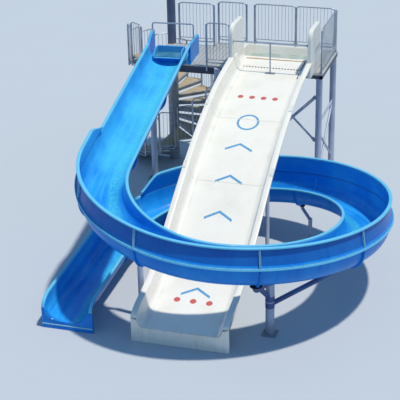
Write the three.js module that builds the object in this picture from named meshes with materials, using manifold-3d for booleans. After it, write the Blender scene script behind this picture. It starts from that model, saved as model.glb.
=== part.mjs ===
// Water slide tower: a raised platform on steel columns with a spiral stair, a straight wide slide
// and an open flume that winds once round it, passing in front of the wide slide and back under it.
// Millimetres, +Z up. X runs along the pool edge, Y away from the pool, Z = 0 is the lowest point.

import * as THREE from 'three';
import { mergeVertices } from 'three/addons/utils/BufferGeometryUtils.js';
import Module from 'manifold-3d';

const wasm = await Module();
wasm.setup();

// Driving dimensions
const GAP = 0.3;
const DEG = Math.PI / 180;

// The flume: plan of straight and curved legs, measured along its centreline, with the fall of each
const FLUME_START = { x: -1883, y: 9206, z: 4362, heading: 274.6 };
const FLUME_LEGS = [
  { length: 6930, turn: 0, fall: 0.142 },
  { length: 4150, turn: 90, fall: 0.195 },
  { length: 5690, turn: 90, fall: 0.1 },
  { length: 5030, turn: 90, fall: 0.111 },
  { length: 5010, turn: 86.2, fall: 0.1 },
  { length: 3290, turn: 0, fall: 0.045 },
];
const FALL_BLEND = 700;
const FLUME_HALF_WIDTH = 650;
const FLUME_RIM = 90;
const FLUME_DEPTH = 580;
const FLUME_FULLNESS = 2.6;
const SKIN = 12;
const RIM_LIP = 40;
const COLLAR_LENGTH = 20;
const COLLAR_HEIGHT = 50;
const STATION_SPACING = 480;
const FLUME_JOINTS = [165, 3050, 6200, 8150, 10100, 12520, 15000, 17700, 20450, 22700, 24900, 27200, 30090];
const FLUME_NAMES = [
  'flume_chute_upper', 'flume_chute_lower', 'flume_turn_1', 'flume_turn_2', 'flume_turn_3', 'flume_turn_4',
  'flume_turn_5', 'flume_turn_6', 'flume_turn_7', 'flume_turn_8', 'flume_run_out', 'flume_exit',
];

// The splash wall bolted on the flume's outer rim
const SPLASH_HEIGHT = 490;
const SPLASH_LEAN = -75;
const SPLASH_RIM = 85;
const SPLASH_RAMPS = { start: 900, end: 450 };
const SPLASH_LOWEST = 0.25;
const SPLASH_JOINTS = [5300, 8150, 10100, 12520, 15000, 17700, 20450, 22700, 24850];

// The wide slide: width over the rims, heights of the rim along Y
const WIDE_WIDTH = 2370;
const WIDE_RIM = 150;
const WIDE_DEPTH = 400;
const WIDE_SKIN = 14;
const WIDE_LIP = 70;
const WIDE_JOINTS = [8450, 6400, 4300, 2000, 0];
const WIDE_NAMES = ['wide_slide_upper', 'wide_slide_middle', 'wide_slide_lower', 'wide_slide_exit'];
const WIDE_RIM_LINE = [
  [9300, 4230], [8450, 4150], [7200, 3920], [6060, 3550], [5000, 3100], [3900, 2520],
  [2500, 1700], [1500, 1160], [900, 960], [0, 800], [-800, 700],
];
const WIDE_NOSE_LENGTH = 600;
const WIDE_NOSE_DROP = 180;
const START_WALL_TOP = 5100;
const START_WALL_FRONT = 8700;
const START_WALL_BACK = 9900;
const START_WALL_THICKNESS = 130;
const START_TROUGH = { back: 10450, sides: 350, sill: 120, wall: 330 };
const WIDE_BAR = { height: 4660, radius: 20, setback: 45, plate: 280 };

// The platform
const DECK_TOP = 3750;
const DECK_PLATE = 40;
const DECK_FRONT = 9080;
const DECK_BACK = 11300;
const DECK_LEFT = -2600;
const DECK_RIGHT = 2600;
const WELL_RIGHT = -1050;
const DECK_SIDE = 520;
const JOISTS = [-420, 600, 1650];
const BEAM_DEPTH = 100;
const BEAM_WIDTH = 80;
const FASCIA = { depth: 200, right: -60, set: 4 };
const RAIL_HEIGHT = 1300;
const SECOND_RAIL = 95;
const RAIL_FOOT = 100;
const RAIL_TUBE = { deck: 36, stair: 30 };
const BAR = 14;
const POST = 44;
const BAR_SPACING = { deck: 130, stair: 175 };

// The spiral stair
const STAIR = { x: -2410, y: 11000, radius: 1300, pole: 130, hub: 162, poleTop: 5600 };
const RISERS = 20;
const TREAD_ANGLE = 22.5;
const STAIR_FOOT_ANGLE = -182;
const TREAD_THICKNESS = 45;
const NOSING_ANGLE = 3;
const POLE_SIDES = 24;
const RAILING_STARTS = [0, 5, 10, 15];

const BLUE = { color: 0x1274d6, roughness: 0.22, metalness: 0 };
const WHITE = { color: 0xf1efe6, roughness: 0.3, metalness: 0 };
const STEEL = { color: 0x9aa6bd, roughness: 0.45, metalness: 0.55 };
const DARK_STEEL = { color: 0x3c4352, roughness: 0.6, metalness: 0.4 };
const PLATE = { color: 0xbfc4c2, roughness: 0.6, metalness: 0.2 };
const TREAD = { color: 0xc9b48c, roughness: 0.8, metalness: 0 };

const tower = new THREE.Group();

function add(name, geometry, finish) {
  const mesh = new THREE.Mesh(geometry, new THREE.MeshStandardMaterial(finish));
  mesh.name = name;
  tower.add(mesh);
  return mesh;
}

// Boolean joins and cuts
function solid(geometry) {
  const bare = geometry.clone();
  bare.deleteAttribute('normal');
  bare.deleteAttribute('uv');
  const merged = mergeVertices(bare, 1e-3);
  const vertProperties = new Float32Array(merged.attributes.position.array);
  const triVerts = new Uint32Array(merged.index.array);
  return new wasm.Manifold(new wasm.Mesh({ numProp: 3, vertProperties, triVerts }));
}

function geometryOf(manifold) {
  const mesh = manifold.getMesh();
  const geometry = new THREE.BufferGeometry();
  geometry.setAttribute('position', new THREE.BufferAttribute(mesh.vertProperties, 3));
  geometry.setIndex(new THREE.BufferAttribute(mesh.triVerts, 1));
  geometry.computeVertexNormals();
  return geometry;
}

function fuse(...geometries) {
  return geometries.flat().map(solid).reduce((sum, next) => sum.add(next));
}

// Plain members
function box(x0, x1, y0, y1, z0, z1) {
  const geometry = new THREE.BoxGeometry(x1 - x0, y1 - y0, z1 - z0);
  return geometry.translate((x0 + x1) / 2, (y0 + y1) / 2, (z0 + z1) / 2);
}

function upright(x, y, radius, z0, z1, sides = 16) {
  const geometry = new THREE.CylinderGeometry(radius, radius, z1 - z0, sides);
  return geometry.rotateX(Math.PI / 2).translate(x, y, (z0 + z1) / 2);
}

function bar(from, to, radius, sides = 8) {
  const a = new THREE.Vector3(...from);
  const b = new THREE.Vector3(...to);
  const along = b.clone().sub(a);
  const geometry = new THREE.CylinderGeometry(radius, radius, along.length(), sides);
  const upward = new THREE.Vector3(0, 1, 0);
  const turn = new THREE.Quaternion().setFromUnitVectors(upward, along.clone().normalize());
  const middle = a.add(b).multiplyScalar(0.5);
  return geometry.applyQuaternion(turn).translate(middle.x, middle.y, middle.z);
}

// A closed outline in (across, up) carried through stations, each placed by place(station, across, up).
// The extrusion runs against the direction of travel, which keeps the faces pointing out.
function carry(outline, stations, place) {
  const shape = new THREE.Shape(outline.map(([across, up]) => new THREE.Vector2(across, up)));
  const steps = stations.length - 1;
  const geometry = new THREE.ExtrudeGeometry(shape, { depth: 1, steps, bevelEnabled: false });
  const position = geometry.attributes.position;
  for (let i = 0; i < position.count; i += 1) {
    const station = stations[steps - Math.round(position.getZ(i) * steps)];
    const point = place(station, position.getX(i), position.getY(i));
    position.setXYZ(i, point.x, point.y, point.z);
  }
  geometry.computeVertexNormals();
  return geometry;
}

function evenly(from, to, spacing) {
  const count = Math.max(1, Math.round(Math.abs(to - from) / spacing));
  return Array.from({ length: count + 1 }, (_, i) => from + ((to - from) * i) / count);
}

// Centreline of the flume at a distance along it: plan position, heading and height of the rim
function flumeHeight(distance) {
  let height = FLUME_START.z;
  let left = distance;
  for (const leg of FLUME_LEGS) {
    const run = leg === FLUME_LEGS.at(-1) || left < 0 ? left : Math.min(left, leg.length);
    height -= run * leg.fall;
    left -= run;
    if (left <= 0) break;
  }
  return height;
}

function flumeAt(distance) {
  let { x, y, heading } = FLUME_START;
  let left = distance;
  for (const leg of FLUME_LEGS) {
    const run = leg === FLUME_LEGS.at(-1) ? left : Math.min(left, leg.length);
    const turned = (leg.turn * run) / leg.length;
    const chord = turned ? (run * Math.sin((turned * DEG) / 2)) / ((turned * DEG) / 2) : run;
    x += chord * Math.cos((heading + turned / 2) * DEG);
    y += chord * Math.sin((heading + turned / 2) * DEG);
    heading += turned;
    left -= run;
    if (left <= 0) break;
  }
  const blend = [-FALL_BLEND, -FALL_BLEND / 2, 0, FALL_BLEND / 2, FALL_BLEND];
  const z = blend.reduce((sum, shift) => sum + flumeHeight(distance + shift), 0) / blend.length;
  return { x, y, z, heading };
}

function onFlume(distance, across, up) {
  const at = flumeAt(distance);
  const side = (at.heading - 90) * DEG;
  return new THREE.Vector3(at.x + across * Math.cos(side), at.y + across * Math.sin(side), at.z + up);
}

// Flume section: rounded channel with an outward rim
const CHANNEL_HALF = FLUME_HALF_WIDTH - FLUME_RIM;
const CHANNEL_STEPS = 10;

function channelCurve(grow) {
  return Array.from({ length: CHANNEL_STEPS + 1 }, (_, i) => {
    const angle = Math.PI * (1 - i / CHANNEL_STEPS);
    const across = Math.sign(Math.cos(angle)) * Math.abs(Math.cos(angle)) ** (2 / FLUME_FULLNESS);
    const down = Math.sin(angle) ** (2 / FLUME_FULLNESS);
    return [across * (CHANNEL_HALF + grow), -down * (FLUME_DEPTH + grow)];
  });
}

function flumeOutline() {
  const inner = channelCurve(0);
  const outer = channelCurve(SKIN).reverse();
  outer[0][1] = -SKIN;
  outer.at(-1)[1] = -SKIN;
  const edge = FLUME_HALF_WIDTH;
  const right = [[edge, 0], [edge, -RIM_LIP], [edge - SKIN, -RIM_LIP], [edge - SKIN, -SKIN]];
  const left = right.map(([across, up]) => [-across, up]).reverse();
  return [...inner, ...right, ...outer, ...left];
}

// Is a point of the outline on the channel's outer face, below the rim
function isOutside(across, up) {
  const share = Math.abs(across / (CHANNEL_HALF + SKIN / 2)) ** FLUME_FULLNESS;
  const drop = Math.abs(up / (FLUME_DEPTH + SKIN / 2)) ** FLUME_FULLNESS;
  return share + drop > 1 && up <= -SKIN && Math.abs(across) < CHANNEL_HALF + SKIN + 1;
}

function flumeStations(index) {
  const start = FLUME_JOINTS[index] + GAP / 2;
  const end = FLUME_JOINTS[index + 1] - GAP / 2;
  const level = index === FLUME_JOINTS.length - 2 ? end - EXIT_CURVE : end;
  const collarEnd = start + COLLAR_LENGTH;
  const stations = [start, collarEnd, ...evenly(collarEnd + 1, level, STATION_SPACING)];
  return level < end ? [...stations, ...evenly(level, end, 100).slice(1)] : stations;
}

function flumeSection(index, drop = () => 0) {
  const stations = flumeStations(index);
  const collarEnd = stations[1];
  return carry(flumeOutline(), stations, (distance, across, up) => {
    if (distance <= collarEnd && isOutside(across, up)) {
      const reach = Math.hypot(across, up);
      const grow = (reach + COLLAR_HEIGHT) / reach;
      return onFlume(distance, across * grow, up === -SKIN ? up : up * grow);
    }
    const floor = Math.min(1, -up / FLUME_DEPTH);
    return onFlume(distance, across, up - drop(distance) * (1 - floor));
  });
}

// Exit: the rims curve down over the last stretch, and a front plate reaches down to the water
const EXIT_CURVE = 400;
const EXIT_LIP = 250;
const FRONT_DEPTH = 60;

function quarterDrop(left, length, height) {
  if (left >= length) return 0;
  return height * (1 - Math.sqrt(Math.max(0, 1 - (1 - left / length) ** 2)));
}

function addFlume() {
  const last = FLUME_JOINTS.length - 2;
  FLUME_NAMES.forEach((name, i) => {
    const [from, to] = [FLUME_JOINTS[i], FLUME_JOINTS[i + 1]];
    if (i < last) {
      add(name, flumeSection(i), BLUE);
      return;
    }
    const channel = solid(flumeSection(i, (s) => quarterDrop(to - s, EXIT_CURVE, EXIT_LIP)));
    const end = flumeAt(to);
    const edge = FLUME_HALF_WIDTH;
    const plate = box(end.x - edge, end.x + edge, end.y + 1, end.y + FRONT_DEPTH, 0, end.z - EXIT_LIP - 20);
    const inside = carry(channelCurve(0), evenly(from, to + STATION_SPACING, STATION_SPACING), onFlume);
    add(name, geometryOf(channel.add(solid(plate).subtract(solid(inside)))), BLUE);
  });
}

// Splash wall: foot on the flume's rim, leaning sheet, outward rim on top
function splashOutline() {
  const foot = CHANNEL_HALF + 4;
  const edge = FLUME_HALF_WIDTH;
  const top = foot + SPLASH_LEAN;
  return [
    [foot, GAP], [edge, GAP], [edge, GAP + SKIN], [foot + SKIN, GAP + SKIN],
    [top + SKIN, SPLASH_HEIGHT - SKIN], [top + SPLASH_RIM - SKIN, SPLASH_HEIGHT - SKIN],
    [top + SPLASH_RIM - SKIN, SPLASH_HEIGHT - RIM_LIP], [top + SPLASH_RIM, SPLASH_HEIGHT - RIM_LIP],
    [top + SPLASH_RIM, SPLASH_HEIGHT], [top, SPLASH_HEIGHT],
  ];
}

function addSplashWall() {
  const first = SPLASH_JOINTS[0];
  const last = SPLASH_JOINTS.at(-1);
  for (let i = 0; i < SPLASH_JOINTS.length - 1; i += 1) {
    const start = SPLASH_JOINTS[i] + GAP / 2;
    const end = SPLASH_JOINTS[i + 1] - GAP / 2;
    const ends = [start, end];
    if (i === 0) ends.splice(1, 0, start + SPLASH_RAMPS.start);
    if (i === SPLASH_JOINTS.length - 2) ends.splice(ends.length - 1, 0, end - SPLASH_RAMPS.end);
    const stations = ends.slice(1).flatMap((to, k) => evenly(ends[k], to, STATION_SPACING).slice(k ? 1 : 0));
    add(`splash_wall_${i + 1}`, carry(splashOutline(), stations, (distance, across, up) => {
      const run = Math.min(1, (distance - first) / SPLASH_RAMPS.start, (last - distance) / SPLASH_RAMPS.end);
      const scale = SPLASH_LOWEST + (1 - SPLASH_LOWEST) * Math.max(0, run);
      return onFlume(distance, across, up > RIM_LIP ? up * scale : up);
    }), BLUE);
  }
}

// Start of the flume on the deck: a high wall on one side, a longer low one on the other, a floor
// between them, and the spill trough standing on that floor
const START_WALLS = { floor: 30, high: { back: -480, top: 4570 }, low: { back: -1000, top: 4350 } };
const START_BAR = { height: 4780, radius: 21, inset: 45, station: -400 };
const TROUGH = { half: 420, front: 380, back: -150, top: 4200, floor: 3990, wall: 30 };

// A straight moulding in line with the top of the flume, its outline in absolute heights
function inLine(outline, from, to) {
  return carry(outline, [from, to], (distance, across, up) => {
    const point = onFlume(distance, across, 0);
    return new THREE.Vector3(point.x, point.y, up);
  });
}

function inLineBox(from, to, half, bottom, top) {
  return inLine([[-half, bottom], [half, bottom], [half, top], [-half, top]], from, to);
}

// One side of the start, from the middle of its floor to the outside of its wall
function startSide({ back, top }, front) {
  const z0 = DECK_TOP + GAP;
  const { floor } = START_WALLS;
  return inLine([
    [-10, z0], [FLUME_HALF_WIDTH, z0], [FLUME_HALF_WIDTH, top], [CHANNEL_HALF, top],
    [CHANNEL_HALF, z0 + 160], [CHANNEL_HALF - 60, z0 + 60], [CHANNEL_HALF - 160, z0 + floor],
    [-10, z0 + floor],
  ], back, front);
}

function mirrorAlong(geometry, distance) {
  const at = flumeAt(distance);
  const turn = (at.heading - 90) * DEG;
  geometry.translate(-at.x, -at.y, 0).rotateZ(-turn).scale(-1, 1, 1).rotateZ(turn).translate(at.x, at.y, 0);
  const index = geometry.attributes.position;
  for (let i = 0; i < index.count; i += 3) {
    const [bx, by, bz] = [index.getX(i + 1), index.getY(i + 1), index.getZ(i + 1)];
    index.setXYZ(i + 1, index.getX(i + 2), index.getY(i + 2), index.getZ(i + 2));
    index.setXYZ(i + 2, bx, by, bz);
  }
  return geometry;
}

function addFlumeStart() {
  const front = FLUME_JOINTS[0] - GAP / 2;
  const { high, low } = START_WALLS;
  const sides = fuse(startSide(high, front), mirrorAlong(startSide(low, front), 0));
  add('flume_start_walls', geometryOf(sides), BLUE);
  const { half, back, top, floor, wall } = TROUGH;
  const body = inLineBox(back, TROUGH.front, half, floor - 40, top);
  const foot = inLineBox(back, front - 20, half - 60, DECK_TOP + START_WALLS.floor + 2 * GAP, floor - 10);
  const inside = inLineBox(back + wall, TROUGH.front + 10, half - wall, floor, top + 10);
  add('flume_start_trough', geometryOf(fuse(body, foot).subtract(solid(inside))), BLUE);
  const { height, radius, inset, station } = START_BAR;
  const edge = FLUME_HALF_WIDTH - inset;
  const at = (across) => onFlume(station, across, 0);
  const post = (across, bottom) => upright(at(across).x, at(across).y, radius, bottom + GAP, height, 12);
  const end = (across) => [at(across).x, at(across).y, height];
  const rail = bar(end(-edge - radius), end(edge + radius), radius, 12);
  add('flume_start_bar', geometryOf(fuse(rail, post(edge, high.top), post(-edge, low.top))), STEEL);
}

// The wide slide
const wideCurve = new THREE.SplineCurve(WIDE_RIM_LINE.map(([y, z]) => new THREE.Vector2(y, z)));
const widePoints = wideCurve.getPoints(200);

function wideRim(y) {
  const after = widePoints.findIndex((point) => point.x <= y);
  const [a, b] = [widePoints[Math.max(0, after - 1)], widePoints[Math.max(1, after)]];
  return a.y + ((b.y - a.y) * (y - a.x)) / (b.x - a.x);
}

const WIDE_WALL = WIDE_WIDTH / 2 - WIDE_RIM;

function wideInner() {
  return [
    [WIDE_WALL, 0], [WIDE_WALL - 40, -200], [WIDE_WALL - 75, -300], [WIDE_WALL - 130, -365],
    [WIDE_WALL - 220, -WIDE_DEPTH],
  ];
}

function wideOuter(grow) {
  const [, ...curve] = wideInner();
  const [flank, ...below] = curve.map(([across, up]) => [across + WIDE_SKIN, up]);
  return [[WIDE_WALL + WIDE_SKIN, -WIDE_SKIN], flank, ...below.map(([across, up]) => [across, up - grow])];
}

function mirrored(points) {
  return points.map(([across, up]) => [-across, up]).reverse();
}

function wideOutline() {
  const half = WIDE_WIDTH / 2;
  const inside = half - WIDE_SKIN;
  const rim = [[half, 0], [half, -WIDE_LIP], [inside, -WIDE_LIP], [inside, -WIDE_SKIN]];
  const right = [...wideInner().reverse(), ...rim, ...wideOuter(WIDE_SKIN)];
  return [...right, ...mirrored(right)];
}

function onWide(y, across, up) {
  return new THREE.Vector3(WIDE_WIDTH / 2 - across, y, wideRim(y) + up);
}

function wideStations(index) {
  const isExit = index === WIDE_NAMES.length - 1;
  const start = WIDE_JOINTS[index] - GAP / 2;
  const end = WIDE_JOINTS[index + 1] + (isExit ? 0 : GAP / 2);
  const level = isExit ? WIDE_NOSE_LENGTH : end;
  const stations = evenly(start, level, STATION_SPACING);
  return isExit ? [...stations, ...evenly(level, end, 100).slice(1)] : stations;
}

function addWideSlide() {
  WIDE_NAMES.forEach((name, i) => {
    if (i < WIDE_NAMES.length - 1) {
      add(name, carry(wideOutline(), wideStations(i), onWide), WHITE);
      return;
    }
    const channel = carry(wideOutline(), wideStations(i), (y, across, up) => {
      const share = Math.max(0, 1 + up / (WIDE_DEPTH + WIDE_SKIN));
      return onWide(y, across, up - quarterDrop(y, WIDE_NOSE_LENGTH, WIDE_NOSE_DROP) * share);
    });
    const plate = box(0, WIDE_WIDTH, 0, FRONT_DEPTH, 0, wideRim(0) - WIDE_NOSE_DROP - 8);
    const throat = [...wideInner(), ...mirrored(wideInner())];
    const above = [[WIDE_WALL, 300], ...throat, [-WIDE_WALL, 300]];
    const inside = carry(above, [WIDE_NOSE_LENGTH, 0, -100], onWide);
    add(name, geometryOf(solid(channel).add(solid(plate).subtract(solid(inside)))), WHITE);
  });
}

// Start of the wide slide: side walls on the deck, a shallow water trough behind a sill
function addWideStart() {
  const front = WIDE_JOINTS[0] + GAP / 2;
  const middle = WIDE_WIDTH / 2;
  const throat = carry(wideOutline(), [START_WALL_FRONT + 400, START_WALL_FRONT, front], onWide);
  const floorZ = DECK_TOP + GAP;
  const walls = [0, WIDE_WIDTH - START_WALL_THICKNESS].map((x) => (
    box(x, x + START_WALL_THICKNESS, START_WALL_FRONT, START_WALL_BACK, floorZ, START_WALL_TOP)
  ));
  const sideTop = floorZ + START_TROUGH.sides;
  const sides = [0, WIDE_WIDTH - START_WALL_THICKNESS].map((x) => (
    box(x, x + START_WALL_THICKNESS, START_WALL_BACK - 10, START_TROUGH.back, floorZ, sideTop)
  ));
  const step = box(20, WIDE_WIDTH - 20, START_WALL_FRONT + 390, START_TROUGH.back, floorZ, floorZ + 75);
  const across = (y0, y1, height) => box(20, WIDE_WIDTH - 20, y0, y1, floorZ + 70, floorZ + height);
  const sill = across(START_WALL_BACK - 60, START_WALL_BACK + 60, START_TROUGH.sill);
  const back = across(START_TROUGH.back - 90, START_TROUGH.back, START_TROUGH.wall);
  const deckCut = box(-10, WIDE_WIDTH + 10, DECK_FRONT - GAP, START_TROUGH.back, DECK_TOP - 600, floorZ);
  const body = fuse(throat, walls, sides, step, sill, back).subtract(solid(deckCut));
  add('wide_slide_start', geometryOf(body), WHITE);
  const { height, radius, setback, plate } = WIDE_BAR;
  const y = START_WALL_FRONT + setback;
  const inset = START_WALL_THICKNESS + GAP;
  const floorAt = wideRim(y) - WIDE_DEPTH + GAP;
  const below = [[-200, -600], [200, -600], [200, -WIDE_DEPTH + GAP], [-200, -WIDE_DEPTH + GAP]];
  const rail = fuse(
    bar([inset, y, height], [WIDE_WIDTH - inset, y, height], radius, 12),
    upright(middle, y, radius, floorAt + 25, height, 12),
    box(middle - plate / 2, middle + plate / 2, y - 40, y + 40, floorAt + 22, floorAt + 32),
    upright(middle, y, 30, floorAt + 14, floorAt + 30, 12),
  );
  add('wide_slide_bar', geometryOf(rail.subtract(solid(carry(below, [y + 200, y - 200], onWide)))), STEEL);
}

// Platform
function fromStair(radius, angle) {
  return [STAIR.x + radius * Math.cos(angle * DEG), STAIR.y + radius * Math.sin(angle * DEG)];
}

const LANDING_ANGLE = STAIR_FOOT_ANGLE + TREAD_ANGLE * (RISERS - 1) - 360;
const notch = (STAIR.pole + GAP) / Math.cos(Math.PI / POLE_SIDES * 2.2);

function addDeck() {
  const outline = [
    fromStair(notch, LANDING_ANGLE), fromStair(STAIR.radius, LANDING_ANGLE),
    fromStair(STAIR.radius, LANDING_ANGLE + 15), [DECK_LEFT, DECK_FRONT + DECK_SIDE],
    [DECK_LEFT, DECK_FRONT], [DECK_RIGHT, DECK_FRONT], [DECK_RIGHT, DECK_BACK],
    [WELL_RIGHT, DECK_BACK], [WELL_RIGHT, STAIR.y],
    fromStair(notch, 0), fromStair(notch, -30), fromStair(notch, -60), fromStair(notch, -90),
  ];
  const shape = new THREE.Shape(outline.map(([x, y]) => new THREE.Vector2(x, y)));
  const plate = new THREE.ExtrudeGeometry(shape, { depth: DECK_PLATE, bevelEnabled: false });
  add('deck_floor', plate.translate(0, 0, DECK_TOP - DECK_PLATE), PLATE);
  addDeckFrame();
}

// Edge beams and joists, open between them, with the deeper fascia welded under the front beam
function addDeckFrame() {
  const top = DECK_TOP - DECK_PLATE - GAP;
  const bottom = top - BEAM_DEPTH;
  const [inFront, behind] = [DECK_FRONT + BEAM_WIDTH, DECK_BACK - BEAM_WIDTH];
  const half = BEAM_WIDTH / 2;
  const open = (x0, x1, y0, y1) => solid(box(x0, x1, y0, y1, bottom - 50, top + 50));
  const beams = [WELL_RIGHT + half, ...JOISTS, DECK_RIGHT - half];
  let frame = solid(box(DECK_LEFT, DECK_RIGHT, DECK_FRONT, DECK_BACK, bottom, top));
  for (let i = 0; i < beams.length - 1; i += 1) {
    frame = frame.subtract(open(beams[i] + half, beams[i + 1] - half, inFront, behind));
  }
  frame = frame.subtract(open(DECK_LEFT + BEAM_WIDTH, WELL_RIGHT, inFront, DECK_BACK + 50));
  frame = frame.subtract(open(DECK_LEFT - 50, WELL_RIGHT - 50, DECK_FRONT + DECK_SIDE, DECK_BACK + 90));
  const { depth, right, set } = FASCIA;
  const front = DECK_FRONT + set;
  const fascia = box(DECK_LEFT + set, right, front, front + half, top - depth, top - BEAM_DEPTH / 2);
  add('deck_frame', geometryOf(frame.add(solid(fascia))), DARK_STEEL);
}

const COLUMN_RADIUS = 92;
const FOOT_PLATE = 360;
const COLUMN_TOP = DECK_TOP - DECK_PLATE - BEAM_DEPTH - 2 * GAP;
const COLUMNS = {
  column_front_right: [2500, 9180], column_back_right: [2500, 11200],
  column_front_middle: [-410, DECK_FRONT - COLUMN_RADIUS - 30],
  column_back_middle: [-420, 11200], column_front_left: [-2500, 9300],
};

function footed(x, y, radius, top, plate = FOOT_PLATE) {
  const half = plate / 2;
  return fuse(upright(x, y, radius, 5, top), box(x - half, x + half, y - half, y + half, 0, 20));
}

// The front middle column stands before the fascia and is bracketed to it; the others carry the frame
function addColumns() {
  for (const [name, [x, y]] of Object.entries(COLUMNS)) {
    const inFront = y < DECK_FRONT;
    const head = inFront
      ? box(x - 60, x + 60, y, DECK_FRONT - GAP, COLUMN_TOP - 60, DECK_TOP)
      : box(x - 100, x + 100, y - 100, y + 100, COLUMN_TOP - 16, COLUMN_TOP);
    const post = footed(x, y, COLUMN_RADIUS, inFront ? DECK_TOP : COLUMN_TOP);
    add(name, geometryOf(post.add(solid(head))), STEEL);
  }
}

// Bracing between columns, cut clear of them
function columnCutter(name) {
  const [x, y] = COLUMNS[name];
  return solid(upright(x, y, COLUMN_RADIUS + GAP, -10, COLUMN_TOP + 50));
}

function addBracing() {
  const at = (name, z) => [...COLUMNS[name], z];
  const [gussetX, backY] = COLUMNS.column_back_right;
  const gussetY = backY - COLUMN_RADIUS - GAP;
  const side = fuse(
    bar(at('column_front_right', 2230), at('column_back_right', 2270), 32),
    bar(at('column_front_right', 2000), at('column_back_right', 500), 32),
    bar(at('column_front_right', 600), at('column_back_right', 2270), 32),
    box(gussetX - 6, gussetX + 6, gussetY - 170, gussetY, 2070, 2310),
  );
  add('brace_right', geometryOf(
    side.subtract(columnCutter('column_front_right')).subtract(columnCutter('column_back_right')),
  ), STEEL);
  const beamUnder = COLUMN_TOP - GAP;
  const front = fuse(
    bar(at('column_front_right', 3140), at('column_front_middle', 300), 45),
    bar(at('column_front_right', 1620), [500, DECK_FRONT + 120, beamUnder + 60], 30),
  ).subtract(solid(box(-300, 3000, 9000, 9700, beamUnder, beamUnder + 400)));
  add('brace_front', geometryOf(
    front.subtract(columnCutter('column_front_right')).subtract(columnCutter('column_front_middle')),
  ), STEEL);
}

// A framed railing panel with rounded corners, from one plan point to another
function roundedRect(path, x0, x1, z0, z1, radius) {
  path.moveTo(x0 + radius, z0);
  path.lineTo(x1 - radius, z0);
  path.quadraticCurveTo(x1, z0, x1, z0 + radius);
  path.lineTo(x1, z1 - radius);
  path.quadraticCurveTo(x1, z1, x1 - radius, z1);
  path.lineTo(x0 + radius, z1);
  path.quadraticCurveTo(x0, z1, x0, z1 - radius);
  path.lineTo(x0, z0 + radius);
  path.quadraticCurveTo(x0, z0, x0 + radius, z0);
}

function panel(from, to, bottom, top, tube, spacing) {
  const [dx, dy] = [to[0] - from[0], to[1] - from[1]];
  const length = Math.hypot(dx, dy);
  const shape = new THREE.Shape();
  roundedRect(shape, 0, length, bottom, top, 110);
  const hole = new THREE.Path();
  roundedRect(hole, tube, length - tube, bottom + tube, top - tube, 110 - tube);
  shape.holes.push(hole);
  const frame = new THREE.ExtrudeGeometry(shape, { depth: tube, bevelEnabled: false, curveSegments: 1 });
  const pieces = [frame.translate(0, 0, -tube / 2).rotateX(Math.PI / 2)];
  const second = bottom + tube / 2 + SECOND_RAIL;
  pieces.push(box(tube / 2, length - tube / 2, -BAR, BAR, second - BAR, second + BAR));
  const gaps = Math.round((length - tube) / spacing);
  for (let i = 1; i < gaps; i += 1) {
    const x = tube / 2 + ((length - tube) * i) / gaps;
    pieces.push(box(x - BAR / 2, x + BAR / 2, -BAR / 2, BAR / 2, bottom + tube / 2, top - tube / 2));
  }
  const turn = Math.atan2(dy, dx);
  return pieces.map((geometry) => geometry.rotateZ(turn).translate(from[0], from[1], 0));
}

function postAt([x, y], bottom, top) {
  return box(x - POST / 2, x + POST / 2, y - POST / 2, y + POST / 2, bottom, top);
}

function railing(name, points, foot = DECK_TOP + GAP) {
  const bottom = DECK_TOP + RAIL_FOOT;
  const top = DECK_TOP + RAIL_HEIGHT;
  const pieces = points.map((point) => postAt(point, foot, top - 40));
  for (let i = 0; i < points.length - 1; i += 1) {
    pieces.push(...panel(points[i], points[i + 1], bottom, top, RAIL_TUBE.deck, BAR_SPACING.deck));
  }
  add(name, geometryOf(fuse(pieces)), STEEL);
}

function addRailings() {
  const back = DECK_BACK - 40;
  const right = DECK_RIGHT - 40;
  const outside = DECK_FRONT - GAP - POST / 2;
  railing('railing_back_left', [[WELL_RIGHT + 40, back], [-140, back]]);
  railing('railing_back_right', [[100, back], [1350, back], [right - 50, back]]);
  railing('railing_right', [[right, back - 50], [right, DECK_FRONT + 40]]);
  railing('railing_front', [[-750, outside], [-60, outside]], DECK_TOP - FASCIA.depth + 60);
  railing('railing_well', [[WELL_RIGHT - 10, STAIR.y - 40], [STAIR.x + 260, STAIR.y - 40]]);
}

// Spiral stair: pole, two flights of wedge treads on stacked hubs, stepped outer railing panels
function treadShape(angle) {
  const points = [
    fromStair(STAIR.pole + 20, angle - NOSING_ANGLE), fromStair(STAIR.radius, angle - NOSING_ANGLE),
    fromStair(STAIR.radius, angle + TREAD_ANGLE), fromStair(STAIR.pole + 20, angle + TREAD_ANGLE),
  ];
  return new THREE.Shape(points.map(([x, y]) => new THREE.Vector2(x, y)));
}

function flight(name, first, last) {
  const riser = DECK_TOP / RISERS;
  const pieces = [];
  for (let i = first; i < last; i += 1) {
    const tread = new THREE.ExtrudeGeometry(treadShape(STAIR_FOOT_ANGLE + TREAD_ANGLE * i), {
      depth: TREAD_THICKNESS, bevelEnabled: false,
    });
    pieces.push(tread.translate(0, 0, riser * (i + 1) - TREAD_THICKNESS));
  }
  const low = riser * first + (first ? GAP : 0);
  const high = riser * last;
  const inner = STAIR.pole + GAP;
  const profile = [[inner, low], [STAIR.hub, low], [STAIR.hub, high], [inner, high], [inner, low]];
  const hub = new THREE.LatheGeometry(profile.map(([r, z]) => new THREE.Vector2(r, z)), POLE_SIDES);
  hub.rotateX(Math.PI / 2).translate(STAIR.x, STAIR.y, 0);
  const bore = upright(STAIR.x, STAIR.y, inner, -100, DECK_TOP + 100, POLE_SIDES);
  add(name, geometryOf(fuse(pieces).subtract(solid(bore)).add(solid(hub))), TREAD);
}

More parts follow.
